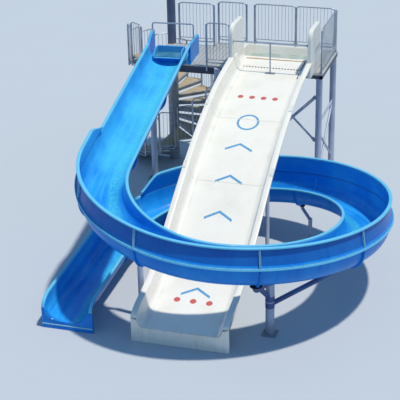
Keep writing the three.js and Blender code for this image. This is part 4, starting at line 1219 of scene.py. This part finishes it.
x, y = MAST
top = on_flume(FLUME_JOINTS[5], 0, -CHANNEL_DEPTH)[2] - 0.38
solids = round_leg(x, y, MAST_RADIUS, [(MAST_RADIUS, top + 0.045), (MAST_RADIUS - 0.02, top + 0.06)])
# This finish paints the flume's shade into the colour of the mast's arms.
arm_shade_paint = painted_steel("shade_darkened_arm_steel", ARM_SHADED_TONE, ARM_SHADED_WORN)
clamp = [(MAST_RADIUS + 0.006, -0.07), (MAST_RADIUS + 0.006, 0.07)]
arms = []
for height, joint, across, radius in (
    (0.95, 5, -0.2, 0.06), (0.78, 6, -0.06, 0.06), (top - 0.06, 5, 0.15, 0.08),
):
    arms += arm((x, y, height), joint, across, radius)
    arms.append(turned(clamp, (x, y, height), sides=36))
    saddles.append(saddle(joint, across, radius))
piece("support_front_right_arms", arms, arm_shade_paint, ("support_front_right",))
piece("support_front_right_steel", solids, column_paint, ("support_front_right",))
piece("flume_saddles", saddles, saddle_rubber)


# The flume starts on the platform between two moulded walls, a high short one and a lower long one.
# A moulded floor joins them, coved up to both, and their front ends run down to the chute's rims.
START_FLOOR = (DECK_TOP + GAP, DECK_TOP + 0.03)
HIGH_WALL, LOW_WALL = (-0.48, 4.57), (-1.0, 4.35)
START_COVE = ((0.005, -0.01), (0.005, 0.16), (-0.02, 0.09), (-0.06, 0.035), (-0.16, -0.002))

start_front = FLUME_JOINTS[0] - GAP / 2
rim_there = flume_at(start_front)[2]
start_plan = [(LOW_WALL[0], -0.64), (start_front, -0.64), (start_front, 0.64), (HIGH_WALL[0], 0.64),
              (HIGH_WALL[0], 0.3), (LOW_WALL[0], 0.1)]


def in_line(along, across, z):
    """A place in line with the flume's start, at a height of its own."""
    return (*on_flume(along, across, 0)[:2], z)


def beside_start(along, height, across):
    """Stands a plate drawn as (along, height) upright beside the flume's start."""
    return in_line(along, across, height)


def rounded(points, radii, steps=6):
    """An outline with each corner rounded by its own radius."""
    outline = []
    for i, (x, y) in enumerate(points):
        if radii[i] <= 0:
            outline.append((x, y))
            continue
        here, before, after = Vector((x, y)), Vector(points[i - 1]), Vector(points[(i + 1) % len(points)])
        start = here + (before - here).normalized() * min(radii[i], (before - here).length / 2.01)
        end = here + (after - here).normalized() * min(radii[i], (after - here).length / 2.01)
        for k in range(steps + 1):
            t = k / steps
            spot = start * (1 - t) ** 2 + here * 2 * t * (1 - t) + end * t * t
            outline.append((spot.x, spot.y))
    return outline


solids = []
for (back_end, wall_top), side in ((HIGH_WALL, 1), (LOW_WALL, -1)):
    slope = min(0.34, (start_front - back_end) * 0.5)
    outline = rounded([
        (start_front, START_FLOOR[0]), (start_front, rim_there - 0.004),
        (start_front - slope, wall_top), (back_end, wall_top), (back_end, START_FLOOR[0]),
    ], [0, 0.03, 0.22, 0.16, 0])
    low, high = sorted((side * CHANNEL_HALF, side * (RIM_EDGE + 0.001)))
    points, faces, _ = slab(outline, low, high, 0.022, beside_start)
    rims = [0.55 if z > min(wall_top - 0.03, rim_there - 0.02) else 0.0 for _, _, z in points]
    solids.append((points, faces, {"rim": rims, "up": [-0.3] * len(points)}))
solids.append(marked(slab(start_plan, *START_FLOOR, 0.006, in_line), inside=1, up=-0.5))
for side, back_end in ((1, HIGH_WALL[0]), (-1, LOW_WALL[0])):
    cove = [(side * (CHANNEL_HALF + out), START_FLOOR[1] + up) for out, up in START_COVE]
    solids.append(marked(lofted([
        [in_line(along, across, z) for across, z in cove] for along in (back_end + 0.01, start_front)
    ]), inside=1, up=-0.5))
piece("flume_start_walls_moulding", solids, blue_gelcoat, ("flume_start_walls",))


# A moulded trough on a pedestal stands between the walls of the flume's start. It has rounded cheeks
# and a rolled lip, and the still water in it runs over into the chute.
TROUGH_HALF, TROUGH_FRONT, TROUGH_BACK = 0.42, 0.38, -0.15
TROUGH_TOP, TROUGH_FLOOR, TROUGH_WALL = 4.2, 3.99, 0.03
WATER_CLEAR, WATER_DEEP = (0.08, 0.25, 0.36, 1), (0.035, 0.16, 0.27, 1)
WATER_BEND = 1.33


def trough_block(back, front, half, low, high, edge=0.006):
    """A squared moulding across the line of the flume's start."""
    return slab([(back, -half), (front, -half), (front, half), (back, half)], low, high, edge, in_line)


half, wall = TROUGH_HALF, TROUGH_WALL
under = TROUGH_FLOOR - 0.04
cheek = rounded([
    (TROUGH_BACK, under), (TROUGH_FRONT, under), (TROUGH_FRONT, TROUGH_FLOOR + 0.05),
    (TROUGH_FRONT - 0.16, TROUGH_TOP), (TROUGH_BACK, TROUGH_TOP),
], [0, 0.02, 0.06, 0.07, 0.05])
pedestal = trough_block(TROUGH_BACK, start_front - 0.02, half - 0.06, START_FLOOR[1], TROUGH_FLOOR - 0.03)
tray = trough_block(TROUGH_BACK, TROUGH_FRONT - 0.03, half - 0.01, under, TROUGH_FLOOR)
solids = [marked(pedestal, up=-0.3), marked(tray, up=-0.3)]
for side in (-1, 1):
    low, high = sorted((side * half, side * (half - wall - 0.012)))
    solids.append(marked(slab(cheek, low, high, 0.014, beside_start), rim=HALF_PALE))
back_wall = trough_block(
    TROUGH_BACK, TROUGH_BACK + wall + 0.012, half - 0.01, TROUGH_FLOOR, TROUGH_TOP, 0.014
)
solids.append(marked(back_wall, rim=HALF_PALE))
lip = [in_line(TROUGH_FRONT - 0.03, across, TROUGH_FLOOR - 0.014) for across in (-half + 0.02, half - 0.02)]
solids.append(marked(rod(*lip, 0.018, 16, 0.004), rim=1))
piece("flume_start_trough_moulding", solids, blue_gelcoat, ("flume_start_trough",))

still_water = Finish("still_water", Metallic=0.0, IOR=WATER_BEND, Coat_Roughness=0.02)
depth = still_water.patches(2.2, 0.35, 0.65, detail=3)
glints = still_water.mottle(16, stretch=(1, 0.6, 1), detail=2)
still_water.wear(
    Base_Color=still_water.blend(depth, WATER_DEEP, WATER_CLEAR),
    Roughness=0.06 + depth * 0.05,
    Normal=still_water.bump(glints + depth, 0.012, 0.6),
)
water = trough_block(
    TROUGH_BACK + wall + 0.01, TROUGH_FRONT - 0.05, half - wall - 0.01,
    TROUGH_FLOOR - 0.002, TROUGH_FLOOR + 0.022, 0.008,
)
piece("flume_trough_water", [water], still_water)


# The grab bar over the flume's start is one length of round steel tube with two bends. It stands on
# the two walls on flanged feet, each held by four small bolts.
BAR_HEIGHT, BAR_TUBE, BAR_EDGE, BAR_STATION, BAR_BEND = 4.78, 0.021, 0.65 - 0.045, -0.4, 0.07
BAR_BOLT_RING = 0.032

bar_path = [in_line(BAR_STATION, across, z) for across, z in (
    (BAR_EDGE, HIGH_WALL[1]), (BAR_EDGE, BAR_HEIGHT), (-BAR_EDGE, BAR_HEIGHT), (-BAR_EDGE, LOW_WALL[1]),
)]
solids = [tube(bent(bar_path, BAR_BEND), BAR_TUBE, 14)]
for across, top in ((BAR_EDGE, HIGH_WALL[1]), (-BAR_EDGE, LOW_WALL[1])):
    x, y, _ = in_line(BAR_STATION, across, top)
    solids.append(turned([(0.040, 0), (0.040, 0.006), (0.026, 0.010), (0.024, 0.02)], (x, y, top), sides=20))
    for turn in range(4):
        a = math.pi / 4 + turn * math.pi / 2
        place = (x + BAR_BOLT_RING * math.cos(a), y + BAR_BOLT_RING * math.sin(a), top + 0.006)
        solids.append(bolt(place, size=0.004))
piece("flume_start_bar_tube", solids, rail_metal, ("flume_start_bar",))


# The wide slide is moulded in white glass-fibre, in bolted sections: a flat floor with rounded corners,
# steep sides and wide flat rims. Plain waves, a ring and two rows of spots are laid into its gelcoat.
WIDE_WIDTH, WIDE_RIM, WIDE_DEPTH, WIDE_SKIN, WIDE_LIP = 2.37, 0.15, 0.4, 0.014, 0.07
WIDE_JOINTS = [8.45, 6.4, 4.3, 2.0, 0.0]
WIDE_NAMES = ["wide_slide_upper", "wide_slide_middle", "wide_slide_lower"]
WIDE_RIM_LINE = [(9.3, 4.23), (8.45, 4.15), (7.2, 3.92), (6.06, 3.55), (5.0, 3.1), (3.9, 2.52),
                 (2.5, 1.7), (1.5, 1.16), (0.9, 0.96), (0.0, 0.8), (-0.8, 0.7)]
WIDE_WALL = WIDE_WIDTH / 2 - WIDE_RIM
FLAT_HALF, CORNER_PULL, CORNER_TOP = 0.80, 0.955, (0.982, -0.25)
WIDE_STEP = 0.12
WHITE_CLEAN, WHITE_WORN = (0.80, 0.79, 0.74, 1), (0.66, 0.63, 0.54, 1)
# The second colour on the next line is a painted shade for the floor's creases.
WHITE_BEIGE, CREASE_SHADE_GREY = (0.60, 0.53, 0.41, 1), (0.38, 0.42, 0.46, 1)
RUN_GREY, EDGE_GREY = (0.42, 0.44, 0.42, 1), (0.60, 0.62, 0.62, 1)
JOINT_FILLER, RUST = (0.52, 0.50, 0.44, 1), (0.40, 0.17, 0.05, 1)
WAVE_BLUE, WAVE_PITCH, WAVE_SLANT, WAVE_HALF = (0.03, 0.27, 0.56, 1), 1.0, 0.55, 0.042
SPOT_RED, SPOT_RADIUS = (0.55, 0.035, 0.03, 1), 0.085
SPOTS = [(7.35, side) for side in (-0.48, -0.16, 0.16, 0.48)] + [(1.12, side) for side in (-0.4, 0.0, 0.4)]
RING_PLACE, RING_RADIUS, RING_HALF = 6.3, 0.27, 0.035
PAINT_EDGE = 0.012


def rim_curve():
    """The rim's height through its points along the slide, as one smooth curve."""
    places, count = [], len(WIDE_RIM_LINE)
    for step in range(201):
        reach = (count - 1) * step / 200
        i = min(int(reach), count - 1)
        t = reach - i
        near = [WIDE_RIM_LINE[min(max(k, 0), count - 1)] for k in (i - 1, i, i + 1, i + 2)]
        spot = []
        for p0, p1, p2, p3 in zip(*near):
            v0, v1 = (p2 - p0) / 2, (p3 - p1) / 2
            cubic, square = 2 * p1 - 2 * p2 + v0 + v1, 3 * p2 - 3 * p1 - 2 * v0 - v1
            spot.append(cubic * t ** 3 + square * t * t + v0 * t + p1)
        places.append(spot)
    return np.array(places[::-1])


RIM_CURVE = rim_curve()


def wide_rim(y):
    """The rim's height at a distance from the exit."""
    return float(np.interp(y, RIM_CURVE[:, 0], RIM_CURVE[:, 1]))


def on_wide(y, across, up):
    """The place of a point of the section, measured from the middle between the rims."""
    return WIDE_WIDTH / 2 - across, y, wide_rim(y) + up


def wide_profile():
    """The closed section of a moulding: (across, up, inside, rim) round its skin."""
    half = WIDE_WIDTH / 2
    corner = []
    for k in range(11):
        t = k / 10
        corner.append((
            FLAT_HALF * (1 - t) ** 2 + CORNER_PULL * 2 * t * (1 - t) + CORNER_TOP[0] * t * t,
            -WIDE_DEPTH * (1 - t) ** 2 - WIDE_DEPTH * 2 * t * (1 - t) + CORNER_TOP[1] * t * t,
        ))
    floor_points = [(FLAT_HALF * k / 6, -WIDE_DEPTH) for k in range(6)]
    inner = [(a, u, 1, 0) for a, u in floor_points + corner] + [(1.026, -0.06, 1, 0)]
    rim = [(WIDE_WALL, -0.018, 1, 1), (WIDE_WALL + 0.004, -0.007, 1, 1), (WIDE_WALL + 0.014, 0, 0, 1),
           (half - 0.014, 0, 0, 1), (half - 0.005, -0.004, 0, 1), (half, -0.014, 0, 1),
           (half, -WIDE_LIP + 0.004, 0, 1), (half - 0.004, -WIDE_LIP, 0, 1), (half - 0.012, -WIDE_LIP, 0, 1),
           (half - 0.012, -0.02, 0, 0), (half - 0.018, -WIDE_SKIN, 0, 0)]
    outer = [(WIDE_WALL + 0.028, -WIDE_SKIN, 0, 0), (WIDE_WALL + 0.014, -0.03, 0, 0)]
    outer += [(a + 0.010, u - 0.010, 0, 0) for a, u in reversed(corner)]
    outer += [(0.40, -WIDE_DEPTH - WIDE_SKIN, 0, 0), (0.0, -WIDE_DEPTH - WIDE_SKIN, 0, 0)]
    right = inner + rim + outer
    left = [(-a, u, inside, rolled) for a, u, inside, rolled in reversed(right)]
    return right + left[1:-1]


def white_finish(name):
    """White gelcoat with the pattern of its floor, read from the marks on the mouldings' points."""
    coat = Finish(name, Metallic=0.0, Coat_Roughness=0.15)
    along, across = coat.mark("along"), coat.mark("across")
    inside, rim = coat.marked_part("inside", 0.4, 0.6), coat.marked_part("rim", 0.35, 0.65)
    edge, seal = coat.marked_part("edge", 0.4, 0.6), coat.marked_part("seal", 0.4, 0.6)
    cloud = coat.patches(1.6, 0.4, 0.75, detail=4)
    drift = coat.patches(5, 0.5, 0.8, stretch=(1, 0.35, 1), detail=5)
    fine = coat.patches(32, 0.5, 0.8, detail=5)
    colour = coat.blend(cloud * 0.35 + drift * 0.25, WHITE_CLEAN, WHITE_WORN)
    colour = coat.blend(drift * fine * inside * 0.45, colour, WHITE_BEIGE)
    # Grey along the creases between the floor and the walls: a painted shade in the corners.
    crease_shade = coat.rise(0.055 - abs(abs(across) - 0.845), 0.0, 0.05) * inside
    colour = coat.blend(crease_shade * (0.10 + cloud * 0.25), colour, CREASE_SHADE_GREY)
    floor_only = (abs(across) < 0.62) * inside
    wave = abs(((along + abs(across) * WAVE_SLANT) % WAVE_PITCH) - WAVE_PITCH / 2)
    waves = coat.rise(WAVE_HALF - wave, 0.0, PAINT_EDGE) * (abs(across) < 0.36)
    waves = waves * (along > 0.9) * (along < 5.6)
    colour = coat.blend(waves * floor_only * (0.92 - fine * 0.3), colour, WAVE_BLUE)
    for place, side in SPOTS:
        reach = ((along - place) ** 2 + (across - side) ** 2) ** 0.5
        spot = coat.rise(SPOT_RADIUS - reach, 0.0, PAINT_EDGE) * floor_only
        colour = coat.blend(spot * 0.9, colour, SPOT_RED)
    reach = ((along - RING_PLACE) ** 2 + across ** 2) ** 0.5
    ring = coat.rise(RING_HALF - abs(reach - RING_RADIUS), 0.0, PAINT_EDGE) * floor_only
    colour = coat.blend(ring * 0.9, colour, WAVE_BLUE)
    runs = coat.patches(9, 0.45, 0.8, stretch=(1, 1, 0.2), detail=4) * (1 - inside) * (1 - rim)
    colour = coat.blend(runs * 0.4, colour, RUN_GREY)
    colour = coat.blend(edge * 0.5, colour, EDGE_GREY)
    colour = coat.blend(seal * 0.6, colour, JOINT_FILLER)
    rust = coat.marked_part("rust", 0.3, 0.7) * (0.55 + coat.mottle(30, detail=3) * 0.6)
    colour = coat.blend(rust, colour, RUST)
    coat.wear(
        Base_Color=colour,
        Roughness=0.24 + fine * 0.2 + drift * 0.12 + edge * 0.15 + rust * 0.2,
        Coat_Weight=(1 - edge) * 0.35,
        Normal=coat.bump(coat.mottle(5, detail=2) + fine * 0.06, 0.004, 0.3),
    )
    return coat


white_gelcoat = white_finish("white_gelcoat_slide")
WIDE_SECTION = wide_profile()
FLANGE_THIN, FLANGE_THICK = 0.002, 0.012
UNDER_CURVE = sorted({
    (round(a, 5), round(u, 5)) for a, u, inside, _ in WIDE_SECTION
    if inside == 0 and u < -0.03 and abs(a) < WIDE_WALL + 0.02
})
FLOOR_SEAM = sorted({(a, u + 0.0005) for a, u, inside, rolled in WIDE_SECTION if inside and not rolled})


def under_joint(y):
    """The bolted flanges under a joint of the wide slide, and the fine seam on its floor."""
    lower = [(a * 1.03, u - 0.05) for a, u in UNDER_CURVE]
    solids = [
        flange(y + near, y + far, UNDER_CURVE, lower, on_wide, 1.0)
        for near, far in ((-FLANGE_THICK, -FLANGE_THIN), (FLANGE_THIN, FLANGE_THICK))
    ]
    for a in np.linspace(-0.85, 0.85, 9):
        for side in (-1, 1):
            spot = on_wide(y + side * FLANGE_THICK, a, -WIDE_DEPTH - WIDE_SKIN - 0.03)
            solids.append(bolt(spot, (0, side, 0), 0.010))
    solids.append(marked(lofted([
        [on_wide(y - 0.009, a, u), on_wide(y, a, u + 0.0022), on_wide(y + 0.009, a, u)]
        for a, u in FLOOR_SEAM
    ]), seal=1))
    return solids


def rim_bracket(y, side):
    """The bolted coupling plate on the outer lip of the rim at a joint."""
    x_out = (WIDE_WIDTH / 2 - 0.0005) * side
    low, high = sorted((x_out - side * 0.10, x_out))
    corners = [(y - 0.11, -0.012), (y + 0.11, -0.012), (y + 0.11, 0.010), (y - 0.11, 0.010)]
    plate = slab(rounded(corners, [0.008] * 4, 3), low, high, 0.003, lambda a, u, c: on_wide(a, c, u + 0.004))
    bolts = [bolt(on_wide(y + shift, x_out - side * 0.05, 0.013), size=0.011) for shift in (-0.07, 0.07)]
    return [marked(plate, edge=1), *bolts]


def wide_joint(y):
    """All that holds two sections of the wide slide together."""
    return under_joint(y) + rim_bracket(y, -1) + rim_bracket(y, 1)


for index, name in enumerate(WIDE_NAMES):
    start, end = WIDE_JOINTS[index] - GAP / 2, WIDE_JOINTS[index + 1] + GAP / 2
    solids = [moulded(WIDE_SECTION, steps_along(start, end, WIDE_STEP), on_wide)]
    if index:
        solids += wide_joint(WIDE_JOINTS[index])
    piece(name + "_moulding", solids, white_gelcoat, (name,))


# The wide slide's exit is its last moulded section. Its nose curves down at the mouth, and a moulded
# front plate with a thin grey ledge stands under it. The ledge's pale grey is partly a painted highlight,
# for the bright line at the water.
NOSE_LENGTH, NOSE_DROP, NOSE_END = 0.6, 0.18, 0.002
front_half = WIDE_WIDTH / 2 - 0.001
ledge_half = front_half - 0.01


def on_nose(y, across, up):
    share = max(0.0, 1 + up / (WIDE_DEPTH + WIDE_SKIN))
    return on_wide(y, across, up - quarter_drop(y, NOSE_LENGTH, NOSE_DROP) * share)


def under_nose(across, z, y):
    return WIDE_WIDTH / 2 - across, y, z


exit_start = WIDE_JOINTS[-2] - GAP / 2
stations = steps_along(exit_start, NOSE_LENGTH, 0.1) + steps_along(NOSE_LENGTH, NOSE_END, EXIT_STEP)[1:]
cut = wide_rim(0) - NOSE_DROP - 0.010
mouth = sorted({
    (round(a, 4), round(wide_rim(0) + u - 0.002, 4)) for a, u, inside, rolled in WIDE_SECTION
    if inside and not rolled and wide_rim(0) + u < cut - 0.004
})
front = [(-front_half, 0), (front_half, 0), (front_half, cut), *reversed(mouth), (-front_half, cut)]
# The pale ledge at the water: partly a painted highlight of the bright waterline.
waterline_ledge = [(-ledge_half, LEDGE_LOW), (ledge_half, LEDGE_LOW),
         (ledge_half, LEDGE_HIGH), (-ledge_half, LEDGE_HIGH)]
solids = [
    moulded(WIDE_SECTION, stations, on_nose),
    slab(front, NOSE_END, FRONT_DEPTH, 0.006, under_nose),
    marked(slab(waterline_ledge, 0.0005, 0.01, 0.003, under_nose), edge=1),
    *wide_joint(WIDE_JOINTS[-2]),
]
piece("wide_slide_exit_moulding", solids, white_gelcoat, ("wide_slide_exit",))


# The start of the wide slide stands on the platform. It is moulded with two high side walls with
# rounded corners, a stepped floor, and a shallow trough between a low sill and the back wall.
WALL_TOP, WALL_FRONT, WALL_BACK, WALL_THICKNESS = 5.1, 8.7, 9.9, 0.13
TROUGH_REAR, TROUGH_SIDE, SILL_TOP, REAR_TOP = 10.45, 0.35, 0.12, 0.33
START_STEP = 0.11
DECK_LINE = [
    (9.095, 0), (9.095, 0.045), (9.13, 0.075), (9.80, 0.078), (9.83, 0.090), (9.86, SILL_TOP - 0.006),
    (9.90, SILL_TOP), (9.94, SILL_TOP - 0.006), (9.97, 0.085), (10.34, 0.080), (10.37, 0.12),
    (10.372, REAR_TOP - 0.03), (10.392, REAR_TOP - 0.004), (10.42, REAR_TOP - 0.004),
    (TROUGH_REAR - 0.002, REAR_TOP - 0.03), (TROUGH_REAR, 0),
]
SIDE_COVE = ((-0.01, 0.06), (0.13, 0.074), (0.06, 0.11), (0.02, 0.17), (-0.01, 0.24))

deck = DECK_TOP + GAP
side_outline = rounded([
    (WALL_FRONT, 3.752), (WALL_FRONT, WALL_TOP), (WALL_BACK, WALL_TOP), (WALL_BACK, deck + TROUGH_SIDE),
    (TROUGH_REAR, deck + TROUGH_SIDE), (TROUGH_REAR, deck),
], [0, 0.30, 0.26, 0.10, 0.08, 0], 8)
stations = steps_along(WALL_FRONT + 0.40, WIDE_JOINTS[0] + GAP / 2, START_STEP)
solids = [moulded(WIDE_SECTION, stations, on_wide)]
for x in (0.0005, WIDE_WIDTH - WALL_THICKNESS):
    solids.append(marked(slab(side_outline, x, x + WALL_THICKNESS - 0.0005, 0.028, crosswise), rim=1))
stepped = [(y, deck + up) for y, up in DECK_LINE]
solids.append(marked(slab(stepped, 0.1, WIDE_WIDTH - 0.1, 0.004, crosswise), inside=1))
for side, turn in ((WALL_THICKNESS, 1), (WIDE_WIDTH - WALL_THICKNESS, -1)):
    cove = [(side + turn * out, deck + up) for out, up in SIDE_COVE]
    solids.append(marked(lofted([[(x, y, z) for x, z in cove] for y in (9.10, 9.86)]), inside=1))
rust_strip = [(0.16, 9.800), (WIDE_WIDTH - 0.16, 9.815), (WIDE_WIDTH - 0.16, 9.842), (0.16, 9.855)]
solids.append(marked(slab(rust_strip, deck + 0.075, deck + 0.098, 0.003), rust=1))
piece("wide_slide_start_moulding", solids, white_gelcoat, ("wide_slide_start",))


# A row of dark insets in the step of the wide slide's start stands for its spray holes, their dark a
# painted shade of the holes. A thin black rod lies along the floor by the right wall: a dark seam there,
# partly painted shade in the corner. Still water stands in the trough behind the sill.
CORNER_ROD_RADIUS = 0.014
TROUGH_SHADE, TROUGH_PALE = (0.27, 0.34, 0.32, 1), (0.38, 0.44, 0.42, 1)

# Dark insets for the spray holes and a black rod by the wall: painted shade of holes and corner.
hole_and_corner_shade = [
    block((x - 0.022, 9.097, deck + 0.045), (x + 0.022, 9.132, deck + 0.079), 0.003)
    for x in np.linspace(0.33, 1.96, 20)
]
for start, end in (
    ((2.0, 8.52, wide_rim(8.52) - 0.392), (1.975, 9.09, deck + 0.045)),
    ((1.975, 9.13, deck + 0.076), (1.955, 9.77, deck + 0.080)),
):
    hole_and_corner_shade.append(rod(start, end, CORNER_ROD_RADIUS, 8))
piece("wide_slide_hole_and_corner_shade", hole_and_corner_shade, saddle_rubber)

trough_water = Finish("still_trough_water", Metallic=0.0, IOR=WATER_BEND)
depth = trough_water.patches(2.6, 0.35, 0.65)
trough_water.wear(
    Base_Color=trough_water.blend(depth, TROUGH_SHADE, TROUGH_PALE),
    Roughness=0.05 + depth * 0.06,
    Normal=trough_water.bump(trough_water.mottle(14, detail=2), 0.010, 0.5),
)
water = block((0.125, 9.95, deck + 0.079), (WIDE_WIDTH - 0.125, 10.375, deck + 0.105), 0.006)
piece("wide_trough_water", [water], trough_water)


# The bar across the wide slide's start is round steel tube. It runs between the two walls on flanges,
# and one post with a foot plate is bolted to the floor under its middle.
BAR_Y, BAR_LEVEL, BAR_ROUND = WALL_FRONT + 0.045, 4.66, 0.020

middle = WIDE_WIDTH / 2
foot = wide_rim(BAR_Y) - WIDE_DEPTH + 0.012
left, right = WALL_THICKNESS - 0.001, WIDE_WIDTH - WALL_THICKNESS + 0.001
solids = [rod((left, BAR_Y, BAR_LEVEL), (right, BAR_Y, BAR_LEVEL), BAR_ROUND, 16),
          rod((middle, BAR_Y, foot), (middle, BAR_Y, BAR_LEVEL), BAR_ROUND, 16)]
for x, turn in ((WALL_THICKNESS, 1), (WIDE_WIDTH - WALL_THICKNESS, -1)):
    seat = [(0.045, 0), (0.045, 0.006), (0.027, 0.010), (0.024, 0.022)]
    solids.append(turned(seat, (x, BAR_Y, BAR_LEVEL), (turn, 0, 0), 20))
solids.append(block((middle - 0.14, BAR_Y - 0.04, foot), (middle + 0.14, BAR_Y + 0.04, foot + 0.018), 0.004))
for shift in (-0.11, 0.11):
    solids.append(bolt((middle + shift, BAR_Y, foot + 0.018), size=0.010))
piece("wide_slide_bar_tube", solids, rail_metal, ("wide_slide_bar",))


# A trestle of two painted round legs with a cross tube carries the wide slide at the middle of its run.
# Each leg stands on a small foot plate, and its head sits against the underside of the moulding.
TRESTLE_Y, TRESTLE_INSET, TRESTLE_RADIUS, TRESTLE_FOOT = 4.75, 0.27, 0.052, 0.12

top = wide_rim(TRESTLE_Y) - WIDE_DEPTH
left, right = TRESTLE_INSET, WIDE_WIDTH - TRESTLE_INSET
solids = []
for x in (left, right):
    upper = [(TRESTLE_RADIUS, top - 0.012)]
    solids += round_leg(x, TRESTLE_Y, TRESTLE_RADIUS, upper, TRESTLE_FOOT, (0.005, 0.028), 24)
solids.append(rod((left, TRESTLE_Y, top - 0.14), (right, TRESTLE_Y, top - 0.14), 0.04, 20))
piece("wide_slide_trestle_steel", solids, column_paint, ("wide_slide_trestle",))
